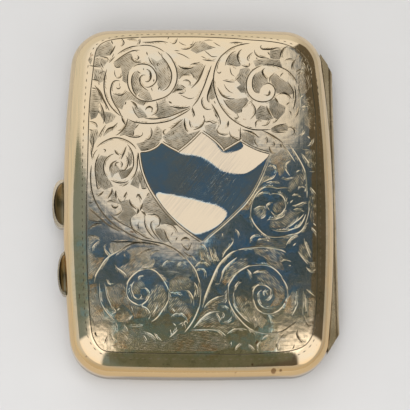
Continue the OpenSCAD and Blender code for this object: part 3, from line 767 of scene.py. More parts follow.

# cut back ground between the leaves, with the slant of its hatching and of its painted shade, in degrees
grounds = [
    (20, [(97, 48), (109, 41.5), (112.5, 47), (109, 55), (100, 55.5), (96, 57), (96, 52)]),
    (-30, [(95, 59), (100, 58), (107, 61), (103.5, 66), (99.5, 62), (101, 66.5), (94.5, 65)]),
    (70, [(94.5, 69), (102, 70.5), (105, 71.5), (103.5, 80), (100.5, 82), (94.5, 78.5)]),
    (40, [(114, 63.5), (122, 57.5), (130.5, 53), (131, 57), (134, 62), (137, 63.5), (132, 66.5),
          (129, 70.5), (127, 77), (126.5, 83), (122.5, 80), (123, 75), (121.5, 67.5), (116.5, 66)]),
    (-50, [(112.5, 95), (118, 96), (124.5, 94.5), (127.5, 91.5), (132, 96.5), (136.5, 99.5), (145.5, 101.8),
          (143, 105.5), (138, 104), (131, 100), (126, 100.5), (122.5, 109), (118, 107), (114, 101)]),
    (60, [(136, 71.5), (139.5, 74), (139, 80), (140.5, 86), (142.5, 88.5), (138.5, 92), (136, 95.5),
          (133, 89), (132.5, 80)]),
    (-35, [(140, 89.5), (145, 90), (149, 93), (152, 99.5), (146, 100), (139.5, 97)]),
    (55, [(151, 58), (157, 62), (163, 59), (167, 64), (170, 72), (170, 80), (166.5, 86), (161, 90),
          (157.5, 84), (158, 76), (155, 68)]),
    (-20, [(133.5, 107), (140, 108), (144.5, 113), (147, 117), (138.5, 117.5), (134.5, 112)]),
    (15, [(158, 103), (165, 99.5), (168.5, 105), (172, 108.5), (184, 109.5), (175, 113.5), (160, 117.5),
          (155.5, 115), (158.5, 110)]),
    (-40, [(177, 67), (182, 69.5), (189, 70), (192, 74.5), (187, 73.5), (182, 75), (179, 79), (177.8, 74)]),
    (50, [(190.5, 70), (196, 66), (201, 63.5), (203.5, 66), (201, 73), (196.5, 79.5), (193, 75)]),
    (-45, [(177, 84), (180, 85.5), (184, 88.8), (178, 88.8), (174, 91)]),
    (-35, [(191, 50), (193, 47.5), (197, 42), (203, 41.5), (209, 46), (212, 48.5), (204, 50), (197, 53)]),
    (0, [(91, 91), (96, 90.5), (100, 97), (103, 104), (100, 102.5), (98, 104), (98.5, 112), (96, 117),
          (91, 119), (90, 110)]),
    (80, [(99, 112), (104, 112), (110, 113), (116, 116), (112, 121), (106, 123.5), (103.5, 119)]),
    (-25, [(120, 136), (125, 126.5), (129, 121), (136, 123), (135, 128), (131.5, 135), (125, 133.5)]),
    (75, [(91, 130.5), (97, 129.5), (98, 136), (94.5, 143), (92, 147), (90, 140)]),
    (-55, [(108, 129.5), (114, 126.5), (117, 123.5), (112, 130), (107.5, 133), (104, 136), (103.5, 134)]),
    (70, [(98, 160), (101, 156), (107, 157), (104.5, 162), (103.5, 170), (105.5, 176), (109.5, 180),
          (113, 186), (104, 189), (99, 185), (97, 176), (96.3, 168)]),
    (-60, [(111, 173), (112, 167), (116, 164), (120, 170), (126, 170), (131, 167), (131, 171), (126, 176),
          (121, 178), (119, 172), (115, 174), (112.5, 178)]),
    (60, [(128, 152), (131.5, 155), (132, 162), (129.5, 166), (128.5, 160)]),
    (65, [(134, 178), (138, 171), (139, 183), (138.5, 188), (131, 184)]),
    (80, [(140.5, 172), (143, 178), (147, 187), (142, 188), (140.5, 182)]),
    (-15, [(137, 143.5), (144, 141.5), (150, 139), (152.5, 133), (157, 126), (162, 131), (161, 139),
          (154, 145.5), (147, 149), (141, 149.5)]),
    (20, [(163, 137), (170, 131), (176, 127), (183, 121), (183.5, 128), (187, 134), (194, 132), (200, 130),
          (190, 140), (178.5, 149.5), (169, 144.5)]),
    (-25, [(205, 126), (212, 124.5), (217, 125), (216, 130), (219, 135), (226, 137), (230, 136),
          (238, 140.5), (224, 148), (216, 140), (207, 133)]),
    (-40, [(213, 82), (213.5, 90), (215, 97), (212, 99), (209, 97.5), (210.5, 90)]),
    (35, [(230, 57), (236, 52.5), (237, 58), (240, 65.5), (236, 66), (231, 63.5), (227, 63.5)]),
    (70, [(240, 70), (247, 67.5), (250, 70), (246, 78), (245, 86), (246, 92), (241, 92), (237, 87),
          (241, 84), (237.5, 80.5), (239, 76)]),
    (-30, [(224, 100), (231, 100), (240, 99), (246, 98), (248, 101), (243, 106), (240, 112), (236, 113),
          (229, 107)]),
    (15, [(257, 110.5), (261, 106), (266, 107.5), (270, 115), (273, 118), (268, 120), (262, 119),
          (257, 119), (256, 115)]),
    (-15, [(254, 61), (258, 59.5), (270, 59.5), (279, 60), (281.5, 67), (272, 64.5), (262, 64.5),
          (256, 66.5)]),
    (10, [(271, 50.5), (281, 49.5), (280, 54), (279, 59), (271, 58), (270, 54)]),
    (60, [(254.5, 77), (258, 73), (261.5, 71), (263, 76), (267, 80), (268, 83), (263, 84.5), (260.5, 88),
          (259.5, 92.5), (256, 91), (253.8, 86)]),
    (40, [(271, 78.5), (276, 74), (281, 79), (287, 83), (291, 88), (292.5, 93), (289, 94.5), (283, 91.5),
          (277, 93), (276, 87), (272.5, 83.5)]),
    (70, [(270, 101), (275, 99.5), (279, 104), (285, 107), (284, 112), (278, 119), (274, 117), (270, 109)]),
    (-75, [(301.5, 58), (304, 56), (309, 60), (312, 70), (312, 84), (308, 92), (301, 93.5), (299, 86),
          (298, 79), (301, 72.5)]),
    (30, [(302, 100), (309, 95), (313, 103), (315, 115), (315.5, 130), (309, 128), (305, 124), (304, 116),
          (308, 109)]),
    (10, [(272, 128), (277, 125.8), (283, 125), (287, 125), (287, 130.5), (278, 131), (272, 130.5)]),
    (-60, [(241, 133), (248, 133), (254, 136.5), (253, 141), (254, 145), (247, 142), (242, 139)]),
    (50, [(272, 155), (277, 155.5), (281, 150), (286, 152), (292, 160), (286, 161.5), (283.5, 166),
          (284, 172), (280, 176), (278, 172), (277, 165), (271, 163)]),
    (75, [(306, 150), (314, 150), (315.5, 160), (315.5, 169), (309, 167), (305, 157)]),
    (-30, [(266, 176), (272, 178), (263, 182), (259, 187), (261, 180)]),
    (60, [(290, 182), (296, 174), (301, 173), (304, 178), (304.5, 185), (297, 186), (291, 192),
          (288, 190)]),
    (80, [(309, 196), (315, 196), (316, 210), (316, 222), (311, 222), (310, 208)]),
    (-45, [(254, 209), (262, 207), (266, 210), (265, 214), (260, 218), (256, 215)]),
    (35, [(271, 220), (280, 219.5), (287, 212), (292, 207), (291, 212), (302, 211), (296, 219), (287, 226),
          (277, 228), (270, 227)]),
    (60, [(274, 204), (282, 200), (284.5, 205), (281, 212), (276, 213), (273, 209)]),
    (0, [(262, 240), (285, 238.5), (288, 241), (284.5, 248), (270, 246), (256, 245.5), (258, 242)]),
    (60, [(299, 246), (304, 243), (306.5, 251), (309, 258), (306, 260), (300, 253)]),
    (80, [(310, 263.5), (315.5, 264), (315.5, 271), (311, 270)]),
    (-20, [(251, 205), (256, 193), (262, 188.5), (255, 188), (251, 196), (246, 203), (240, 210),
          (249, 209)]),
    (30, [(113, 189), (115.5, 196), (119, 203), (124, 201), (129, 200), (132, 208), (136, 213), (131, 217),
          (130, 226), (118, 217), (123, 210), (121, 205), (111, 202)]),
    (-20, [(144, 201), (150, 193), (157, 201), (163, 209), (171, 218), (178, 225), (173, 225), (166, 223),
          (161, 224), (160, 217), (153, 213), (146, 213.5), (142, 208)]),
    (60, [(161, 229), (165, 234), (168, 241), (164, 242), (157, 234), (155, 229)]),
    (40, [(88, 205), (94, 212), (100, 219), (96, 221), (89, 219)]),
    (-35, [(88, 236), (99, 238.5), (94, 243), (91, 251), (95, 257), (104, 257), (98, 268), (92, 278),
          (88.5, 278), (87.5, 255)]),
    (20, [(111, 243), (126, 243), (134, 242.8), (124, 248), (114, 252.5), (111, 248)]),
    (-45, [(127, 251), (137, 248), (147, 247.5), (151, 252), (149, 258), (154, 262), (152, 267), (141, 269),
          (133, 273), (128, 277), (124, 272), (118, 268), (130, 262), (131, 256)]),
    (70, [(107, 287), (113, 287), (120, 283), (125, 286), (126, 297), (131, 303), (139, 306), (146, 309),
          (149, 317), (134, 318), (130, 310), (123, 303), (118, 308), (112, 305), (108, 296)]),
    (45, [(135, 283), (140, 281), (145, 286), (140, 289), (140, 293), (134, 294), (132.5, 289)]),
    (-60, [(152, 290), (158, 284), (163, 287), (166.5, 296), (164, 305), (158, 313), (152, 317), (147, 307),
          (150, 299), (151, 293)]),
    (20, [(118, 313), (126, 311), (130, 315), (127, 322), (119, 321), (115, 317)]),
    (-10, [(117, 333), (124, 329), (134, 328), (143, 328), (150, 334), (157, 341), (166, 340), (176, 334),
          (186, 334), (192, 331), (205, 331), (218, 333), (226, 338), (230, 347), (215, 351), (180, 351),
          (150, 350), (125, 349), (112, 346), (118, 342)]),
    (55, [(170, 281), (178, 276), (188, 277), (193, 284), (188, 289), (180, 290), (170, 291)]),
    (-50, [(171, 298), (178, 297), (186, 305), (192, 314), (188, 323), (186, 316), (180, 312), (172, 314),
          (168, 310)]),
    (70, [(90, 285), (97, 284), (98, 298), (100, 306), (104, 313), (102, 322), (94, 325), (91, 312),
          (90, 298)]),
    (20, [(202, 312), (208, 304), (218, 299), (226, 297), (227, 303), (218, 304), (216, 310), (208, 312),
          (199, 320), (196, 322)]),
    (-25, [(196, 327), (205, 318), (213, 314), (217, 318), (221, 324), (231, 323), (236, 320), (240, 325),
          (232, 328), (225, 333), (214, 328)]),
    (60, [(204, 250), (207, 258), (211, 265), (206, 261), (202, 258), (201, 251)]),
    (75, [(211, 250), (214, 258), (217, 265), (213, 262), (210.5, 256)]),
    (40, [(254, 249), (268, 248.5), (280, 252), (285, 256), (281, 261), (284, 270), (276, 268), (268, 264),
          (266, 258), (256, 254)]),
    (-30, [(232, 265), (240, 259), (247, 258), (248, 264), (240, 269), (232, 277), (226, 285), (222, 282),
          (226, 272)]),
    (50, [(257, 276), (266, 273), (274, 276), (280, 283), (284, 290), (284, 298), (278, 305), (270, 306),
          (275, 297), (272, 288), (264, 283), (258, 281)]),
    (-60, [(236, 296), (244, 296), (251, 300), (254, 308), (260, 314), (266, 320), (262, 328), (252, 323),
          (243, 316), (237, 307)]),
    (60, [(288, 300), (292, 292), (296, 294), (295.5, 304), (290, 313), (284, 312), (286, 306)]),
    (85, [(309, 298), (315.5, 299), (315, 313), (311.5, 318), (308.8, 314)]),
    (20, [(263, 342), (272, 337), (278, 337), (275, 343), (274, 350), (262, 350), (261, 345)]),
    (-40, [(88.5, 60), (90, 57), (92, 59), (90.5, 64)]),
]


def curveThrough(points, step, closed=False):  # centripetal spline, evenly sampled
    points = [Vector(p) for p in points]
    if closed:
        points = [points[-1]] + points + points[:2]
    elif len(points) == 2:
        return [tuple(points[0].lerp(points[1], i / 4)) for i in range(5)]
    else:
        points = [2 * points[0] - points[1]] + points + [2 * points[-1] - points[-2]]
    made = []
    for a, b, c, d in zip(points, points[1:], points[2:], points[3:]):
        count = max(2, math.ceil((c - b).length / step))
        reach = [max(1e-4, (q - p).length ** 0.5) for p, q in ((a, b), (b, c), (c, d))]
        slopeB = ((b - a) / reach[0] - (c - a) / (reach[0] + reach[1]) + (c - b) / reach[1]) * reach[1]
        slopeC = ((c - b) / reach[1] - (d - b) / (reach[1] + reach[2]) + (d - c) / reach[2]) * reach[1]
        for i in range(count):
            t = i / count
            made.append(tuple(b * (2 * t ** 3 - 3 * t ** 2 + 1) + c * (3 * t ** 2 - 2 * t ** 3)
                              + slopeB * (t ** 3 - 2 * t ** 2 + t) + slopeC * (t ** 3 - t ** 2)))
    if not closed:
        made.append(tuple(points[-2]))
    return made


def laidCurve(line, step=engraved["step"], closed=False):
    return curveThrough(onCover(line), step, closed)


def distances(line):  # the way gone at each of a line's points
    return np.concatenate([[0], np.cumsum(np.hypot(*np.diff(line, axis=0).T))])


def waysOf(line):  # unit directions along a line, and to the left of it
    way = np.gradient(line, axis=0)
    way /= np.maximum(np.hypot(*way.T), 1e-9)[:, None]
    return way, np.stack([-way[:, 1], way[:, 0]], axis=1)


def alongPiece(points, a, b):  # each point's share of the piece's length, and its distance from the piece
    along = b - a
    t = np.clip(((points - a) @ along) / max(along @ along, 1e-12), 0, 1)
    return t, np.hypot(*(points - (a + t[:, None] * along)).T)


class Graver:  # gathers the cuts as ribbons and the sheet's triangulation
    def __init__(self):
        self.points = []
        self.edges = []
        self.ribbons = []

    def chain(self, line, closed=False):
        first = len(self.points)
        self.points += [tuple(p) for p in line]
        last = len(self.points) - 1
        self.edges += [(i, i + 1) for i in range(first, last)]
        if closed:
            self.edges.append((last, first))

    def cut(self, line, style, wider=1):
        style = cutStyles[style]
        line = np.array(line, float)
        if len(line) < 3:
            line = np.array([line[0], (line[0] + line[-1]) / 2, line[-1]])
        along = distances(line)
        ends = np.minimum(along, along[-1] - along)
        taper = min(style["taper"], along[-1] * 0.5)
        shape = style["blunt"] + (1 - style["blunt"]) * np.clip(ends / taper, 0, 1) ** 0.7
        width = style["half"] * wider * shape
        side = waysOf(line)[1] * width[:, None]
        self.chain(line)
        for sign in (1, -1):
            self.chain(np.concatenate([line[:1], (line + sign * side)[1:-1], line[-1:]]))
        self.ribbons.append((line, width, style["kind"]))

    def depths(self, points, kind=None):
        depth = np.zeros(len(points))
        order = np.argsort(points[:, 0])
        across = points[order, 0]
        for line, width, found in self.ribbons:
            if kind and kind != found:
                continue
            low = line.min(0) - width.max()
            high = line.max(0) + width.max()
            near = order[slice(*np.searchsorted(across, (low[0], high[0])))]
            near = near[(points[near, 1] > low[1]) & (points[near, 1] < high[1])]
            if not len(near):
                continue
            best = np.zeros(len(near))
            for a, b, widthA, widthB in zip(line, line[1:], width, width[1:]):
                t, gap = alongPiece(points[near], a, b)
                best = np.maximum(best, widthA + (widthB - widthA) * t - gap)
            depth[near] = np.maximum(depth[near], best)
        return depth


def insideOf(polygon, points):
    polygon = np.array(polygon, float)
    inside = np.zeros(len(points), bool)
    x, y = points.T
    for a, b in zip(polygon, np.roll(polygon, -1, axis=0)):
        crosses = (a[1] > y) != (b[1] > y)
        if a[1] != b[1]:
            inside ^= crosses & (x < (b[0] - a[0]) * (y - a[1]) / (b[1] - a[1]) + a[0])
    return inside


def reachInto(polygon, points):  # distance from a polygon's edge, positive inside
    polygon = np.array(polygon, float)
    gap = np.full(len(points), 1e3)
    for a, b in zip(polygon, np.roll(polygon, -1, axis=0)):
        gap = np.minimum(gap, alongPiece(points, a, b)[1])
    return np.where(insideOf(polygon, points), gap, -gap)


leafShade = {  # groups of short strokes that lean away from a cut, mm and degrees
    "shortest": 1.5,
    "first": 0.1,  # shares of the cut's length
    "last": 0.85,
    "spacing": 0.42,
    "group": 2.6,
    "groupVaries": (0.6, 1.3),  # times that
    "rest": 2.0,
    "restVaries": (0.6, 1.4),
    "lean": 27,
    "leanVaries": (0.75, 1.25),
    "length": 1.2,
    "lengthVaries": (0.6, 1.2),
    "widthVaries": (0.8, 1.2),
    "off": 0.2,
    "bow": 0.06,
}


def shadeLeaf(graver, line, shield, border, rand):
    line = np.array(line, float)
    along = distances(line)
    total = along[-1]
    if total < leafShade["shortest"]:
        return
    way = waysOf(line)[0]
    turn = way[0][0] * way[-1][1] - way[0][1] * way[-1][0]
    side = math.copysign(1, turn) if abs(turn) > 0.1 else rand.choice((-1, 1))
    place = leafShade["first"] * total
    left = leafShade["group"]
    while place < leafShade["last"] * total:
        i = int(np.searchsorted(along, place))
        lean = side * math.radians(leafShade["lean"] * rand.uniform(*leafShade["leanVaries"]))
        ahead = Vector(way[i]).to_2d()
        outward = Vector((-ahead.y, ahead.x)) * side
        ahead.rotate(Matrix.Rotation(lean, 2))
        swell = 0.5 + 0.5 * math.sin(math.pi * place / total)
        length = leafShade["length"] * rand.uniform(*leafShade["lengthVaries"]) * swell
        start = Vector(line[i]) + leafShade["off"] * outward
        middle = start + ahead * length * 0.5 - outward * leafShade["bow"]
        stroke = np.array([tuple(p) for p in (start, middle, start + ahead * length)])
        if insideOf(border, stroke).all() and not insideOf(shield, stroke).any():
            graver.cut(stroke, "leaf", rand.uniform(*leafShade["widthVaries"]))
        place += leafShade["spacing"]
        left -= leafShade["spacing"]
        if left < 0:
            place += leafShade["rest"] * rand.uniform(*leafShade["restVaries"])
            left = leafShade["group"] * rand.uniform(*leafShade["groupVaries"])


hatching = {  # the lines in the cut back ground, mm
    "margin": 0.25,
    "spacing": 0.40,
    "spacingVaries": (0.8, 1.2),  # times that
    "widthVaries": (0.8, 1.3),
    "step": 0.12,
    "stroke": (1.3, 3.2),  # a longer line is broken off
    "shortest": 4,  # steps
}


def shadeGround(graver, polygon, slant, rand):
    ring = np.array(polygon, float)
    way = np.array([math.cos(math.radians(slant)), math.sin(math.radians(slant))])
    across = np.array([-way[1], way[0]])
    rows = ring @ across
    columns = ring @ way
    place = rows.min() + hatching["margin"]
    while place < rows.max():
        t = np.arange(columns.min(), columns.max(), hatching["step"])
        line = t[:, None] * way + place * across
        start = None
        limit = rand.uniform(*hatching["stroke"])
        for i, isIn in enumerate(list(insideOf(polygon, line)) + [False]):
            if start is None:
                if isIn:
                    start = i
                continue
            if isIn and (i - start) * hatching["step"] <= limit:
                continue
            if i - start > hatching["shortest"]:
                wider = rand.uniform(*hatching["widthVaries"])
                graver.cut(line[[start + 1, (start + i) // 2, i - 2]], "hatch", wider)
            start = i + 1 if isIn else None
            limit = rand.uniform(*hatching["stroke"])
        place += hatching["spacing"] * rand.uniform(*hatching["spacingVaries"])


def cutShield(graver):  # two lines, and the shield's outline
    runs = [laidCurve(run) for run in shieldEdge]
    for run in runs:
        graver.cut(run, "shieldInner")
    shield = [point for run in runs for point in run[:-1]]
    centre = np.mean(shield, axis=0)
    for run in runs:
        line = np.array(run)
        side = waysOf(line)[1]
        half = len(line) // 2
        if (line[half] - centre) @ side[half] < 0:
            side = -side
        graver.cut(line + side * engraved["shieldGap"], "shieldOuter")
    return shield


def cutBorder(graver, rand):  # a line, and dashes outside it
    inner = laidCurve(borderLines["inner"], engraved["borderStep"], closed=True)
    graver.cut(inner + inner[:1], "border")
    line = np.array(laidCurve(borderLines["outer"], engraved["dashStep"], closed=True))
    along = distances(line)
    place = 0
    while place < along[-1] - engraved["dash"]:
        stop = place + engraved["dash"] * rand.uniform(*engraved["dashVaries"])
        spots = [np.argmin(abs(along - t)) for t in (place, (place + stop) / 2, stop)]
        graver.cut(line[spots], "dash")
        place = stop + engraved["dashGap"] * rand.uniform(*engraved["dashGapVaries"])
    return inner


def cutGrounds(graver, rand):  # hatched patches, each a little larger than drawn
    patches = []
    for slant, polygon in grounds:
        laid = onCover(polygon)
        middle = Vector(np.mean(laid, axis=0))
        laid = [tuple(Vector(p) + engraved["spread"] * (Vector(p) - middle).normalized()) for p in laid]
        patches.append((math.radians(-slant), laid))
        graver.chain(laid, closed=True)
        shadeGround(graver, laid, -slant, rand)
    return patches


def looseGrid(grid, rand):
    jitter = engraved["jitter"]
    return np.array([(i + rand.uniform(-jitter, jitter), j + rand.uniform(-jitter, jitter))
                     for i in range(*grid["columns"]) for j in range(*grid["rows"])]) * grid["step"]


def markSheet(graver, points, middles, patches, shield, lit):  # what the finish is told, by kind
    ground = np.zeros(len(points))
    catching = np.zeros(len(points))
    hollow = np.zeros(len(middles), bool)
    for slant, polygon in patches:
        hollow |= insideOf(polygon, middles)
        inside = reachInto(polygon, points) > -engraved["groundSoft"]
        # painted shade in the hollow ground, darkest at one side of each patch
        across = points[inside] @ np.array([-math.sin(slant), math.cos(slant)])
        share = (across - across.min()) / (np.ptp(across) + 1e-6)
        ground[inside] = np.maximum(ground[inside], 1 - engraved["shadeFall"] * share)
    for line in lit:
        share = np.clip(reachInto(line, points) / engraved["litSoft"] + 0.5, 0, 1)
        catching = np.maximum(catching, share)
    cuttings = [graver.depths(middles, kind) > engraved["told"] for kind in cutMarks]
    return {
        "ground": ground,
        "catching": catching,
        "hollow": hollow,
        "cut": np.select(cuttings, list(cutMarks.values())),
        "shield": insideOf(shield, middles),
    }


def engrave():
    rand = random.Random(7)
    graver = Graver()
    for inset in (engraved["panelInset"], *engraved["rings"]):
        graver.chain(outline(inset), closed=True)
    for style, lines in cuts.items():
        for line in lines:
            graver.cut(laidCurve(line), style)
    shield = cutShield(graver)
    border = cutBorder(graver, rand)
    for line in cuts["plain"] + cuts["bold"]:
        shadeLeaf(graver, laidCurve(line), shield, border, rand)
    patches = cutGrounds(graver, rand)
    fill = looseGrid(engraved["grid"], rand)
    graver.points += [tuple(p) for p in fill[edgeOf(*fill.T)[0] > engraved["gridInset"]]]
    fill = looseGrid(engraved["shieldGrid"], rand)
    graver.points += [tuple(p) for p in fill[insideOf(shield, fill)]]
    lit = [laidCurve(line, engraved["litStep"], closed=True) for line in shieldLit]
    for line in lit:
        graver.chain(line, closed=True)
    print("graver:", len(graver.ribbons), "cuts,", len(graver.points), "points")
    joined = [Vector(p) for p in graver.points]
    triangles = geometry.delaunay_2d_cdt(joined, graver.edges, [], 1, 1e-4, False)
    points = np.array([tuple(p) for p in triangles[0]])
    faces = [tuple(f) for f in triangles[2]]
    depth = graver.depths(points) * engraved["slope"]
    middles = points[np.array(faces)].mean(axis=1)
    masks = markSheet(graver, points, middles, patches, shield, lit)
    print("panel:", len(points), "points,", len(faces), "faces")
    return points, faces, depth, masks


def ringVerts(bm, line, height):
    return [bm.verts.new((x, y, height)) for x, y in line]


def loftRings(bm, rings, material):  # bridging twists rings that only differ in scale
    for first, second in zip(rings, rings[1:]):
        for a, b, c, d in zip(first, first[1:] + first[:1], second[1:] + second[:1], second):
            bm.faces.new((a, b, c, d)).material_index = material


shell = {  # how finely a cover is built, and the scales of its lining's rings
    "outerSteps": 12,
    "innerSteps": 14,
    "scales": (0.9, 0.75, 0.6, 0.45, 0.3, 0.15),
}


def coverShell(half, panelInset):  # one half over the parting line, mm
    bm = bmesh.new()
    rise = case["depth"] - case["rim"] - half["crown"]
    edge = case["edge"]
    wall = case["wall"]

    def rounding(inset, width, height, angle):
        drawn = inset + width * (1 - math.cos(angle))
        crown = half["crown"] * (1 - (1 - drawn / case["halfWidth"]) ** 2)
        return ringVerts(bm, outline(drawn), case["rim"] + height * math.sin(angle) + crown)

    last = math.acos(1 - panelInset / edge)
    count = shell["outerSteps"]
    outer = [ringVerts(bm, outline(0), 0)]
    outer += [rounding(0, edge, rise, last * i / count) for i in range(count + 1)]
    loftRings(bm, outer, 0)
    count = shell["innerSteps"]
    inner = [ringVerts(bm, outline(wall), 0)]
    inner += [rounding(wall, edge - wall, rise - wall, math.pi / 2 * i / count) for i in range(count + 1)]
    edgeShare = edge / case["halfWidth"]
    for factor in shell["scales"]:
        z = case["depth"] - half["crown"] - wall + half["crown"] * (1 - (factor * (1 - edgeShare)) ** 2)
        inner.append(ringVerts(bm, [(x * factor, y * factor) for x, y in outline(edge)], z))
    loftRings(bm, inner, 1)
    loftRings(bm, [outer[0], inner[0]], 1)
    bm.faces.new(inner[-1]).material_index = 1
    bm.faces.new(outer[-1]).material_index = 2
    bmesh.ops.recalc_face_normals(bm, faces=bm.faces)
    return bm


def meshObject(name, bm, materials):
    mesh = bpy.data.meshes.new(name)
    bm.to_mesh(mesh)
    bm.free()
    piece = bpy.data.objects.new(name, mesh)
    bpy.context.scene.collection.objects.link(piece)
    for material in materials:
        mesh.materials.append(material)
    return piece


hinge = {"x": 31.2, "tube": 1.1, "gap": 0.2, "wall": 0.5, "length": 72.4}


def notched(bm, materials):  # room for the joint bearer
    depth = hinge["tube"] + hinge["gap"] + hinge["wall"]
    width = depth + 2 * hinge["tube"]
    middle = (hinge["x"] - depth + width / 2, 0, (depth - 1) / 2)
    cutter = bmesh.new()
    bmesh.ops.create_cube(cutter, size=1)
    bmesh.ops.scale(cutter, vec=(width, hinge["length"], depth + 1), verts=cutter.verts)
    bmesh.ops.translate(cutter, vec=middle, verts=cutter.verts)
    for face in cutter.faces:
        face.material_index = 1
    piece = meshObject("shell", bm, materials)
    tool = meshObject("tool", cutter, materials)
    cut = piece.modifiers.new("notch", "BOOLEAN")
    cut.operation = "DIFFERENCE"
    cut.solver = "EXACT"
    cut.object = tool
    bpy.context.view_layer.update()
    evaluated = piece.evaluated_get(bpy.context.evaluated_depsgraph_get())
    made = bmesh.new()
    made.from_mesh(evaluated.to_mesh())
    for spare in (piece, tool):
        bpy.data.objects.remove(spare)
    return made


def laySheet(bm, half, points, faces, depth):  # in place of the roof, numbered for the finish
    x, y = points.T
    heights = coverHeight(x, y, half)
    onEdge = edgeOf(x, y)[0] < engraved["panelInset"] + engraved["weld"]
    heights = np.where(onEdge, heights, heights - depth)
    pointLayer = bm.verts.layers.int.new("point")
    verts = [bm.verts.new((*point, z)) for point, z in zip(points, heights)]
    for i, vert in enumerate(verts):
        vert[pointLayer] = i + 1
    faceLayer = bm.faces.layers.int.new("sheet")
    for i, face in enumerate(faces):
        made = bm.faces.new([verts[j] for j in face])
        made[faceLayer] = i + 1
        made.normal_update()
        if made.normal.z < 0:
            made.normal_flip()
    rims = [vert for vert in bm.verts if vert.is_boundary]
    bmesh.ops.remove_doubles(bm, verts=rims, dist=engraved["weld"])


def putInPlace(bm, half):
    if half["sign"] < 0:
        bmesh.ops.scale(bm, vec=(1, 1, -1), verts=bm.verts)
        bmesh.ops.reverse_faces(bm, faces=bm.faces)
    bmesh.ops.translate(bm, vec=(0, 0, case["parting"]), verts=bm.verts)
    bmesh.ops.scale(bm, vec=(mm, mm, mm), verts=bm.verts)
    for face in bm.faces:
        face.smooth = True
    for edge in bm.edges:
        if len(edge.link_faces) == 2:
            edge.smooth = edge.calc_face_angle(0) < math.radians(40)


def gathered(items, name, width=1, kind=float):
    values = np.zeros(len(items) * width, kind)
    items.foreach_get(name, values)
    return values.reshape(-1, width) if width > 1 else values


# heights in the room that the shield's two parts reflect, and how the camera stands to it
shieldDish = {"lit": 0.37, "dark": 0.206, "eyeDown": 132, "eyeUp": 476, "bend": 0.00124}


def aimShield(normals, heights, catching):  # the shield is dished by polishing
    caught = shieldDish["lit"] * catching + shieldDish["dark"] * (1 - catching)
    aim = (heights + shieldDish["eyeDown"]) / shieldDish["eyeUp"] + shieldDish["bend"] * heights
    normals[:, 1] += (caught - aim) / 2 * normals[:, 2]
    return normals / np.linalg.norm(normals, axis=1)[:, None]


def dressCover(name, half, sheet, materials, replaced, body):
    bm = notched(coverShell(half, engraved["panelInset"] if sheet else case["edge"]), materials)
    roof = [face for face in bm.faces if face.material_index == 2]
    if sheet:
        points, faces, depth, masks = sheet
        bmesh.ops.delete(bm, geom=roof, context="FACES_ONLY")
        laySheet(bm, half, points, faces, depth)
        sheetFaces = np.array([face[bm.faces.layers.int["sheet"]] for face in bm.faces]) - 1
        sheetPoints = np.array([vert[bm.verts.layers.int["point"]] for vert in bm.verts]) - 1
    else:
        for face in roof:
            face.material_index = 0
    putInPlace(bm, half)
    piece = meshObject(name, bm, materials[:2])
    mesh = piece.data
    sites = gathered(mesh.vertices, "co", 3) / mm
    loopVerts = gathered(mesh.loops, "vertex_index", kind=int)
    loopFaces = np.repeat(np.arange(len(mesh.polygons)), gathered(mesh.polygons, "loop_total", kind=int))
    smooth = coverNormals(sites[:, 0], sites[:, 1], (sites[:, 2] - case["parting"]) * half["sign"], half)
    smooth[:, 2] *= half["sign"]
    outside = gathered(mesh.polygons, "material_index", kind=int)[loopFaces] == 0
    normals = np.where(outside[:, None], smooth[loopVerts], 0)
    colours = np.zeros((len(mesh.loops), 4), np.float32)
    colours[:, 3] = 1
    if sheet:
        marks = {}
        for kind, values in masks.items():
            numbers = sheetPoints[loopVerts] if kind in ("ground", "catching") else sheetFaces[loopFaces]
            marks[kind] = np.append(values, 0)[numbers]
        onShield = marks["shield"] > 0
        normals[onShield] = aimShield(normals[onShield], sites[loopVerts, 1][onShield],
                                      marks["catching"][onShield])
        cutHere = marks["cut"] > 0
        normals[cutHere] = gathered(mesh.polygons, "normal", 3)[loopFaces][cutHere]
        bare = (marks["cut"] <= cutMarks["hatch"]) * (marks["shield"] == 0)  # no line and no shield
        # painted shade in the hollow ground, away from the lines and the shield
        colours[:, 0] = marks["ground"] * marks["hollow"] * bare
        colours[:, 1] = marks["cut"]
        colours[:, 2] = marks["shield"] * (0.6 + 0.4 * marks["catching"])  # lower where the shield doesn't catch the window; there the finish paints a blue film and the dark room's reflection
    mesh.normals_split_custom_set(normals.tolist())
    mesh.color_attributes.new("engraving", "FLOAT_COLOR", "CORNER").data.foreach_set("color", colours.ravel())
    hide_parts(replaced)
    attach(piece, body)


# finishes
tones = {
    "gilt": (0.74, 0.52, 0.27),  # toward the lower end
    "paleGilt": (0.78, 0.62, 0.41),  # toward the upper end
    "worn": (0.70, 0.60, 0.47),
    "cool": (0.65, 0.61, 0.53),
    "polished": (0.74, 0.62, 0.475),
    "rubbed": (0.62, 0.53, 0.43),
    "tarnish": (0.52, 0.47, 0.33),
    "blue": (0.40, 0.56, 0.59),
    "blueFilmAndReflection": (0.53, 0.62, 0.63),
    # painted shade of the hollow ground, and dark specks
    "hollow": (0.25, 0.22, 0.168),
    "stain": (0.22, 0.11, 0.045),
    "brown": (0.56, 0.39, 0.22),
    # dirt and painted shade, in the cuts and over the parting line
    "dirtAndShade": (0.105, 0.082, 0.048),
    # painted highlight on the cuts in the tarnish, and bright specks
    "speckAndHighlight": (0.62, 0.56, 0.45),
}

# the tarnish on the engraved face, together with painted shade of the dark room's reflection, begins below
# this line, which follows where the face stops reflecting the window, mm
tarnishAndShadeEdge = [(-32, -7), (-27, -8), (-16, -13), (-2, -14), (1, -9), (10, 8), (17, 12), (23, 15), (25, 42)]
tarnishAndShadeSpan = {"width": 64, "length": 84}  # the box that line is drawn in

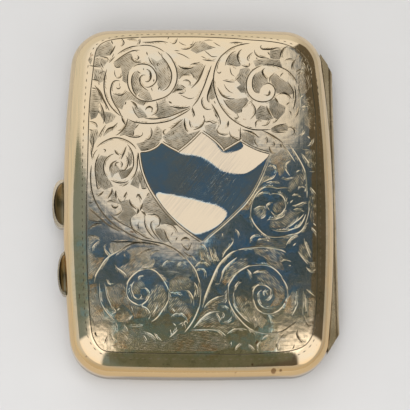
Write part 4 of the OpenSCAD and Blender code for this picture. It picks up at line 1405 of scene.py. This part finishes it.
# where the finishes of the covers change, m
zones = {
    "rim": (-0.035, 0.035),  # from gilt to pale gilt
    "face": (0.0099, 0.0112),  # height at which the side turns into the face
    "faceWander": 0.0010,
    "upper": (-0.005, 0.015),  # from here up the face begins higher
    "upperShift": 0.0010,
    "sides": (0.026, 0.029),
    "lowerEnd": (0.034, 0.041),
    "lowerWander": 0.004,
    # where the tarnish and its painted shade end, and the lower corners, which reflect the glints, that they
    # are left off
    "tarnishAndShadeSoft": (-0.001, 0.004),
    "tarnishAndShadeWander": 0.008,
    "glintCornerLeft": 0.0185,
    "glintCornerRight": 0.0160,
    "glintCornerSoft": (0, 0.003),
    "glintCornerDown": (0.0275, 0.0305),
    "blueHeight": (0.01105, 0.0113),
    "blueRight": 0.024,
    "blueRightSoft": (0, 0.003),
    "blueDown": 0.0385,
    "blueDownSoft": (0, 0.002),
    # grime with painted shade over the parting line
    "grimeAndShadeTop": 0.0077,
    "grimeAndShadeRise": 0.001,  # at the lower end
    "grimeAndShadeSoft": (0, 0.0018),
    "grimeAndShadeHalf": 0.0225,
    "grimeAndShadeHalfSoft": (0, 0.007),
}

stains = [  # brown spots: centre and radius, mm
    (19.4, -25.3, 0.45),
    (19.9, -24.6, 0.3),
    (20.8, -23.7, 0.22),
    (16.6, -40.9, 0.7),
    (18.2, -40.8, 0.5),
    (11.7, -39.6, 0.35),
    (29.6, -34.4, 0.4),
]


def awayFrom(x, y, left, up):  # distance on the face, from a place in mm
    return ((x - left * mm) ** 2 + (y - up * mm) ** 2) ** 0.5


def lowerEnd(y, broad):
    return (y * -1 + zones["lowerWander"] * (broad - 0.5)).between(*zones["lowerEnd"])


def tarnishAndShadeShare(f, x, y, broad):  # tarnish and painted shade on the face, left off the lower corners that reflect the glints
    width = tarnishAndShadeSpan["width"]
    length = tarnishAndShadeSpan["length"]
    stops = [(place / width + 0.5, (height + length / 2) / length) for place, height in tarnishAndShadeEdge]
    limit = f.curve(x / (width * mm) + 0.5, stops) * (length * mm) - length / 2 * mm
    beside = (x - zones["glintCornerRight"]).atLeast(x * -1 - zones["glintCornerLeft"]).between(*zones["glintCornerSoft"])
    glintCorner = beside * (y * -1).between(*zones["glintCornerDown"])
    return (limit - y + zones["tarnishAndShadeWander"] * (broad - 0.5)).between(*zones["tarnishAndShadeSoft"]) * (1 - glintCorner)


def tarnishTone(f, x, y, z, small, blotch, ground):  # blue bands, brown hollows and grain
    inside = z.between(*zones["blueHeight"]) * (zones["blueRight"] - x).between(*zones["blueRightSoft"])
    inside = inside * (y + zones["blueDown"]).between(*zones["blueDownSoft"])
    bands = f.blend(blotch.between(0.44, 0.60) * inside, tones["tarnish"], tones["blue"])
    browned = f.patches((0.7, 0.9, 0), 150, 4, 0.6).between(0.46, 0.62)
    hollows = f.blend(browned, tones["tarnish"], tones["brown"])
    tint = f.blend((0.55 * ground + 1.5 * (small - 0.5)).between(0.05, 0.55), bands, hollows)
    specks = f.patches((0.6, 0.2, 0), 1500, 3, 0.7)
    tint = f.blend(specks.between(0.52, 0.68) * 0.6, tint, tones["speckAndHighlight"])
    return f.blend((1 - specks).between(0.55, 0.70) * 0.6, tint, tones["hollow"])


def engravedSilver():
    f = Finish("engravedSilver")
    here = f.place()
    x, y, z = f.axes()
    broad = f.noise(here, 70, 3, 0.55)
    small = f.noise(here, 300, 4, 0.6)
    fineGrain = f.noise(here, 2600, 3, 0.6)
    blotch = f.patches((0.3, 0.1, 0), 210, 4, 0.6)

    # what the mesh tells: hollow ground, cuts of four kinds, and the shield with its blue film, which paints
    # the dark room's reflection on the parts that don't catch the window
    mask = f.node("ShaderNodeAttribute", {"attribute_name": "engraving"}, {}, "Color")
    ground, cut, shield = f.split(f.node("ShaderNodeSeparateColor", {}, {"Color": mask}))
    blueFilmAndReflection = shield.between(0.35, 0.5) - shield.between(0.7, 0.9)
    shield = shield.between(0.35, 0.5)
    line, toBorder, toHatch, toLeaf = (cut.between(mark - 0.15, mark - 0.05) for mark in cutMarks.values())
    border = toBorder - line
    hatch = toHatch - toBorder
    leaf = toLeaf - toHatch

    # plain metal
    shift = zones["faceWander"] * (broad - 0.5) - zones["upperShift"] * y.between(*zones["upper"])
    face = (z + shift).between(*zones["face"])
    rim = f.blend(y.between(*zones["rim"]), tones["gilt"], tones["paleGilt"])
    cooled = f.noise(f.place((1, 2, 1)), 130, 3, 0.6).between(0.5, 0.7)
    colour = f.blend(face, rim, f.blend(cooled, tones["worn"], tones["cool"]))

    # tarnish with painted shade where the face reflects the dark room, then the rubbed shield and the drawn
    # out marks on the sides
    tarnishAndShade = tarnishAndShadeShare(f, x, y, broad) * (1 - shield)
    tint = tarnishTone(f, x, y, z, small, blotch, ground)
    colour = f.blend(tarnishAndShade * (0.35 + 0.65 * small.between(0.34, 0.62)) * face, colour, tint)
    slanted = f.node("ShaderNodeMapping", {}, {"Vector": f.place(turn=-0.9), "Scale": (90, 2200, 90)})
    rubbed = f.noise(slanted, 1, 4, 0.7).between(0.38, 0.66) * broad.between(0.35, 0.6)
    colour = f.blend(shield, colour, f.blend(rubbed, tones["polished"], tones["rubbed"]))
    # painted reflection: a blue film where the shield doesn't catch the window
    blueFilmAndReflectionShare = blueFilmAndReflection * (0.15 + 0.85 * blotch.between(0.38, 0.60)) * (1 - 0.5 * rubbed)
    colour = f.blend(blueFilmAndReflectionShare, colour, tones["blueFilmAndReflection"])
    drawn = f.streaks((2600, 60, 900)).between(0.42, 0.66) * (0.35 + 0.5 * broad)
    sides = x.atLeast(x * -1).between(*zones["sides"])
    colour = f.blend(drawn * sides * (1 - face), colour, tones["tarnish"])

    # cuts: dirt and painted shade where the face reflects the window, painted highlight in the tarnish and
    # its painted shade
    # painted shade in the hollow ground, left out in the tarnish
    shaded = ground * (1 - tarnishAndShade) * (0.50 + 0.50 * small.between(0.35, 0.65))
    colour = f.blend(shaded, colour, tones["hollow"])
    fading = f.patches((0.1, 0.8, 0), 130).between(0.4, 0.65)
    # painted shade in the cut lines where the face reflects the window, painted highlight where it doesn't
    colour = f.blend(line * (0.95 - tarnishAndShade * (0.25 + 0.6 * fading)), colour,
                     f.blend(tarnishAndShade, tones["dirtAndShade"], tones["speckAndHighlight"]))
    # dirt and painted shade in the other cuts, less of it in the tarnish
    dirtAndShadeShare = border * 0.85 + hatch * (0.50 - 0.20 * tarnishAndShade) + leaf * 0.35 * (1 - tarnishAndShade)
    colour = f.blend(dirtAndShadeShare, colour, tones["dirtAndShade"])
    # painted highlight on the leaf strokes in the tarnish
    colour = f.blend(leaf * tarnishAndShade * 0.25, colour, tones["speckAndHighlight"])

    # stains, and grime with painted shade over the parting line, mostly at the lower end
    spots = f.patches((0.2, 0.5, 0), 420).between(0.74, 0.80)
    for left, up, size in stains:
        gap = awayFrom(x, y, left, up) + 0.0006 * (small - 0.5)
        spots = spots.atLeast((size * mm - gap).between(0, 0.0003))
    colour = f.blend(spots * 0.8, colour, tones["stain"])
    middle = (zones["grimeAndShadeHalf"] - x.atLeast(x * -1)).between(*zones["grimeAndShadeHalfSoft"])
    lower = lowerEnd(y, broad) * middle
    grimeAndShade = (zones["grimeAndShadeTop"] + zones["grimeAndShadeRise"] * lower - z).between(*zones["grimeAndShadeSoft"])
    grimeAndShade = grimeAndShade * (0.3 + 0.55 * lower)
    colour = f.blend(grimeAndShade, colour, tones["dirtAndShade"])

    scratch = f.streaks((60, 2600, 60), 0.5) + f.streaks((2600, 50, 60), 0.2)
    roughness = (0.05 + 0.04 * small) * (1 - 0.45 * shield) + 0.03 * spots
    roughness = roughness + 0.15 * ground * (0.6 + 0.8 * fineGrain) * (1 - 0.65 * tarnishAndShade)
    fine = (0.3 - 0.2 * shield) * scratch + ground * 1.6 * fineGrain + 0.5 * shield * rubbed
    ripple = f.noise(here, 300) + 0.16 * f.noise(here, 1100, 2, 0.6) * tarnishAndShade
    normal = f.bump(ripple * (1 - 0.8 * shield) * face, 1.0, 0.000016, f.bump(fine, 0.35, 0.000012))
    return f.surface(colour=colour, roughness=roughness, metallic=1.0, normal=normal)


thumbs = {  # the thumb pieces' discs: centre and radius, mm; their dished tops get a painted shade, and a band inside each rim keeps the worn tone
    "upper": (-26.22, -0.4, 7.88),
    "lower": (-23.93, -17.6, 8.80),
    "between": (-0.0091, -0.0089),  # m
    "rubbed": (-0.0006, -0.0002),  # the band inside the rim left out of the painted shade, m
}


def plainGilt(name, colour, worn, tarnish, roughness, grimeAndShade=None, rimAroundShadedDish=False):
    f = Finish(name)
    here = f.place()
    x, y, z = f.axes()
    broad = f.noise(here, 60, 3, 0.55)
    small = f.noise(here, 320, 4, 0.6)
    tone = f.blend(broad.between(0.35, 0.65), colour, worn)
    tone = f.blend((broad * 0.6 + small * 0.5).between(0.56, 0.72) * 0.45, tone, tarnish)
    spots = f.patches((0.4, 0.3, 0), 420).between(0.74, 0.80)
    tone = f.blend(spots * 0.7, tone, tones["brown"])
    # grime with painted shade toward the parting line, more at the lower end
    if grimeAndShade:
        dirtAndShadeShare = (z + 0.0010 * small).between(*grimeAndShade) * (0.35 + 0.2 * broad + 0.4 * lowerEnd(y, broad))
        tone = f.blend(dirtAndShadeShare, tone, tones["dirtAndShade"])
    if rimAroundShadedDish:
        # the near black tone is painted shade of the dished tops; a band inside each rim gets the worn tone
        isUpper = y.between(*thumbs["between"])
        gaps = [awayFrom(x, y, left, up) - radius * mm
                for left, up, radius in (thumbs["upper"], thumbs["lower"])]
        gap = gaps[0] * isUpper + gaps[1] * (1 - isUpper)
        rubbed = gap.between(*thumbs["rubbed"]) * (0.45 + 0.55 * broad.between(0.4, 0.6))
        tone = f.blend(rubbed, tone, tones["worn"])
    scratch = f.streaks((50, 2200, 400), 0.4) + f.streaks((2400, 60, 300), 0.9)
    return f.surface(colour=tone, roughness=roughness + 0.08 * small, metallic=1.0,
                     normal=f.bump(scratch, 0.3, 0.000010))


gilts = {
    "plainSilver": {
        "colour": tones["gilt"], "worn": tones["worn"], "tarnish": tones["tarnish"],
        "roughness": 0.10, "grimeAndShade": (0.0020, 0.0036)},
    "giltLining": {
        "colour": (0.86, 0.66, 0.36), "worn": (0.84, 0.68, 0.44), "tarnish": (0.55, 0.40, 0.20),
        "roughness": 0.16},
    "jointSilver": {
        "colour": (0.34, 0.27, 0.165), "worn": (0.60, 0.50, 0.35), "tarnish": (0.12, 0.095, 0.055),
        "roughness": 0.20},
    # painted shade: the thumb pieces' dished tops are near black
    "thumbSilver": {
        "colour": (0.135, 0.12, 0.08), "worn": (0.20, 0.175, 0.12), "tarnish": (0.09, 0.08, 0.055),
        "roughness": 0.14, "rimAroundShadedDish": True},
    "pinSilver": {
        "colour": (0.66, 0.65, 0.62), "worn": (0.72, 0.70, 0.66), "tarnish": (0.36, 0.33, 0.28),
        "roughness": 0.25},
}
silver = engravedSilver()
plain, lining, jointTone, thumbTone, pinTone = (plainGilt(name, **look) for name, look in gilts.items())
print("finishes made")

dressCover("engraved_cover", halves["front"], engrave(), [silver, lining, silver],
           "front_cover", "lid")
dressCover("plain_cover", halves["back"], None, [plain, lining, plain],
           "back_cover", "back")
print("covers made")


weave = {
    "ribs": 15,  # along the band
    "perRib": 4,
    "rib": 0.055,  # how deep the valleys lie, mm
    "pulse": 0.045,  # how deep the crossing threads draw in
    "pitch": 0.7,
    "perPitch": 4,
    "drawn": 0.03,  # how far the edges draw in
    "bandFactor": 20,  # the wave node's own
    "light": (0.60, 0.47, 0.26),
    "dark": (0.42, 0.31, 0.15),
    "crossing": (0.30, 0.21, 0.10),
    "soiled": (0.24, 0.18, 0.11),
}


def wovenTone():
    f = Finish("wovenElastic")
    along = f.streaks((300, 3200, 300), roughness=0.6)
    fibre = f.streaks((2500, 9000, 2500), roughness=0.6)
    scale = 2 * math.pi / (weave["bandFactor"] * weave["pitch"] * mm)
    waves = {"Vector": f.place(), "Scale": scale, "Distortion": 0.8}
    across = f.node("ShaderNodeTexWave", {"wave_type": "BANDS", "bands_direction": "X"}, waves, 1)
    colour = f.blend(along.between(0.3, 0.7), weave["dark"], weave["light"])
    colour = f.blend(across * 0.35, colour, weave["crossing"])
    colour = f.blend(f.noise(f.place(), 90, 3).between(0.55, 0.75) * 0.4, colour, weave["soiled"])
    return f.surface(colour=colour, roughness=0.72 + 0.15 * fibre, sheen=0.25,
                     normal=f.bump(fibre + 0.6 * across, 0.5, 0.00003))


def wovenStrap(name, replaced, body, material):
    low, high = (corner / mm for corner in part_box(replaced))
    middle = (low + high) / 2
    half = (high - low) / 2
    bm = bmesh.new()
    count = weave["ribs"] * weave["perRib"]
    stations = round(2 * half.x / weave["pitch"]) * weave["perPitch"]
    rings = []
    for i in range(stations + 1):
        x = low.x + 2 * half.x * i / stations
        beat = 2 * math.pi * (x - low.x) / weave["pitch"]
        ring = []
        for sign in (1, -1):
            for j in range(count + 1):
                y = sign * (2 * j / count - 1) * (half.y - weave["drawn"])
                edge = min(1, (half.y - abs(y)) / half.z)
                turn = j / weave["perRib"]
                sunk = weave["rib"] * abs(math.cos(math.pi * turn)) ** 3
                sunk += weave["pulse"] * (0.5 + 0.5 * math.cos(beat + math.pi * int(turn)))
                z = sign * (half.z - sunk) * math.sqrt(1 - (1 - edge) ** 2)
                ring.append(bm.verts.new((x, middle.y + y, middle.z + z)))
        rings.append(ring)
    loftRings(bm, rings, 0)
    for ring in (rings[0], rings[-1]):
        bm.faces.new(ring)
    bmesh.ops.recalc_face_normals(bm, faces=bm.faces)
    bmesh.ops.scale(bm, vec=(mm, mm, mm), verts=bm.verts)
    for face in bm.faces:
        face.smooth = len(face.verts) == 4
    piece = meshObject(name, bm, [material])
    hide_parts(replaced)
    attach(piece, body)


woven = wovenTone()
wovenStrap("back_strap", "back_elastic_strap", "back", woven)
wovenStrap("front_strap", "front_elastic_strap", "lid", woven)
print("straps made")

# the solids that keep their shape, by a word in their names
nodeTones = {"knuckle": jointTone, "bearer": jointTone, "plug": jointTone, "thumb": thumbTone, "pin": pinTone}
for name, node in nodes.items():
    if not node.hide_render:
        node.data.materials.clear()
        found = [tone for word, tone in nodeTones.items() if word in name]
        node.data.materials.append((found + [lining])[0])


# table, surroundings and light
stage = {
    "floorRadius": 2.0,
    "floorSteps": 96,
    "floorColour": (0.647, 0.656, 0.695),
    "floorGrain": (0.630, 0.640, 0.677),
    "horizon": 0.02,  # the ceiling isn't followed below this
    "wander": 0.02,  # how far the borders of the lit parts waver
    "window": (1.06, 1.05, 1.01),
    "windowSoft": (-0.004, 0.006),
    "windowRight": 0.157,
    "windowRightSoft": (0, 0.010),
    "windowOpens": 0.45,  # behind this it widens to the right
    "windowSlope": 0.6,
    "windowFades": (0.35, 0.85),  # to the left
    "windowLoss": 0.25,
    "curveSpan": 1.5,  # the window's edge is drawn from -0.7 to 0.3 of this
    "curveStart": 0.7,
    "overhead": (0.070, 0.122, 0.192),
    "lowFront": (0.190, 0.186, 0.118),
    "lowFrontEnds": (0.165, 0.215),
    "leftSide": (0.255, 0.295, 0.255),
    "leftSideBegins": (0.05, 0.12),
    "rightSide": (0.135, 0.115, 0.080),
    "rightSideBegins": (0.155, 0.19),
    "glint": (1.35, 1.25, 1.08),
    "nearGlint": (2.0, 1.82, 1.55),
    "nearGlintEnds": (0.09, 0.13),
    "glintTop": 0.188,
    "glintLeft": 0.034,
    "glintRight": 0.106,
    "glintOut": (0.012, 0.018),
    "glintDown": (0.016, 0.022),
    "glintSlant": (0.08, 0.22),
    "glintSteepest": 3.6,
    "glintSteepSoft": (0, 1.3),
    "walls": (0.82, 0.82, 0.78),
    "rightWalls": (0.60, 0.58, 0.54),
    "rightWallsBegin": (0.2, 0.6),
    "frontWalls": (0.68, 0.66, 0.61),
    "frontWallsBegin": (0.3, 0.8),
    "seenWalls": (0.68, 0.67, 0.66),
    "bandTop": 0.545,  # sine of the height to which the lit walls reach
    "bandDrop": 0.15,  # to the right
    "bandDrops": (0.3, 0.6),
    "bandSoft": (0, 0.02),
}
windowEdge = [  # the window's lower edge, from left to right
    (-0.95, 0.49), (-0.8, 0.45), (-0.5, 0.375), (-0.39, 0.34), (-0.2, 0.31), (-0.11, 0.305),
    (-0.0747, 0.289), (-0.0473, 0.271), (-0.027, 0.250), (0, 0.238), (0.03, 0.232), (0.04, 0.240),
    (0.055, 0.253), (0.0895, 0.311), (0.121, 0.320), (0.15, 0.327),
]


def addTable():
    f = Finish("table")
    grain = f.noise(f.place(), 140, 4)
    colour = f.blend(grain, stage["floorColour"], stage["floorGrain"])
    f.shown(f.node("ShaderNodeBsdfDiffuse", {}, {"Color": colour}))
    bm = bmesh.new()
    bmesh.ops.create_circle(bm, cap_ends=True, radius=stage["floorRadius"],
                            segments=stage["floorSteps"])
    meshObject("table", bm, [f.material])


def addSurroundings():  # a window at the back, lit walls, a dark ceiling over the camera
    world = bpy.data.worlds.new("surroundings")
    bpy.context.scene.world = world
    world.use_nodes = True
    f = Finish("surroundings", world.node_tree)
    x, y, z = f.axes()
    over = z.atLeast(stage["horizon"])
    a = x / over
    b = y / over
    wander = stage["wander"] * (f.noise(f.place(), 9) - 0.5)

    # ceiling and window
    span = stage["curveSpan"]
    stops = [(place / span + stage["curveStart"], value) for place, value in windowEdge]
    edge = f.curve(a / span + stage["curveStart"], stops)
    right = stage["windowRight"] + stage["windowSlope"] * (b - stage["windowOpens"]).atLeast(0)
    window = (b - edge + wander).between(*stage["windowSoft"])
    window = window * (right - a + wander).between(*stage["windowRightSoft"])
    window = window * (1 - stage["windowLoss"] * (a * -1).between(*stage["windowFades"]))
    ceiling = f.blend((b + wander).between(*stage["lowFrontEnds"]), stage["lowFront"], stage["overhead"])
    room = f.blend((a * -1).between(*stage["leftSideBegins"]), ceiling, stage["leftSide"])
    room = f.blend((a + wander).between(*stage["rightSideBegins"]), room, stage["rightSide"])
    room = f.blend(window, room, stage["window"])

    # two bright corners that spread outward and down
    down = stage["glintTop"] - b + wander
    for out in (a * -1 - stage["glintLeft"], a - stage["glintRight"]):
        slant = down / out.atLeast(0.001)
        glint = (out + wander).between(*stage["glintOut"]) * down.between(*stage["glintDown"])
        glint = glint * slant.between(*stage["glintSlant"])
        glint = glint * (stage["glintSteepest"] - slant).between(*stage["glintSteepSoft"])
        tone = f.blend(out.between(*stage["nearGlintEnds"]), stage["nearGlint"], stage["glint"])
        room = f.blend(glint, room, tone)

    # lit walls under it all, which the camera sees a little paler
    walls = f.blend(x.between(*stage["rightWallsBegin"]), stage["walls"], stage["rightWalls"])
    walls = f.blend((y * -1).between(*stage["frontWallsBegin"]), walls, stage["frontWalls"])
    seen = f.node("ShaderNodeLightPath", {}, {}, "Is Camera Ray")
    walls = f.blend(seen, walls, stage["seenWalls"])
    bandTop = stage["bandTop"] - stage["bandDrop"] * x.between(*stage["bandDrops"])
    room = f.blend((bandTop - z).between(*stage["bandSoft"]), room, walls)
    f.shown(f.node("ShaderNodeBackground", {}, {"Color": room, "Strength": 1.0}), "ShaderNodeOutputWorld")


def addLamp(name, place, size, power):  # softens the light, and no metal mirrors it
    data = bpy.data.lights.new(name, "AREA")
    data.shape = "DISK"
    data.size = size
    data.energy = power
    lamp = bpy.data.objects.new(name, data)
    lamp.location = place
    lamp.rotation_euler = Vector(place).to_track_quat("Z", "Y").to_euler()
    lamp.visible_glossy = False
    bpy.context.scene.collection.objects.link(lamp)


addTable()
addSurroundings()
addLamp("front_lamp", place=(-0.06, -0.3, 0.35), size=0.3, power=0.66)
addLamp("soft_lamp", place=(-0.05, 0.05, 1.2), size=0.8, power=3.0)
print("stage set")
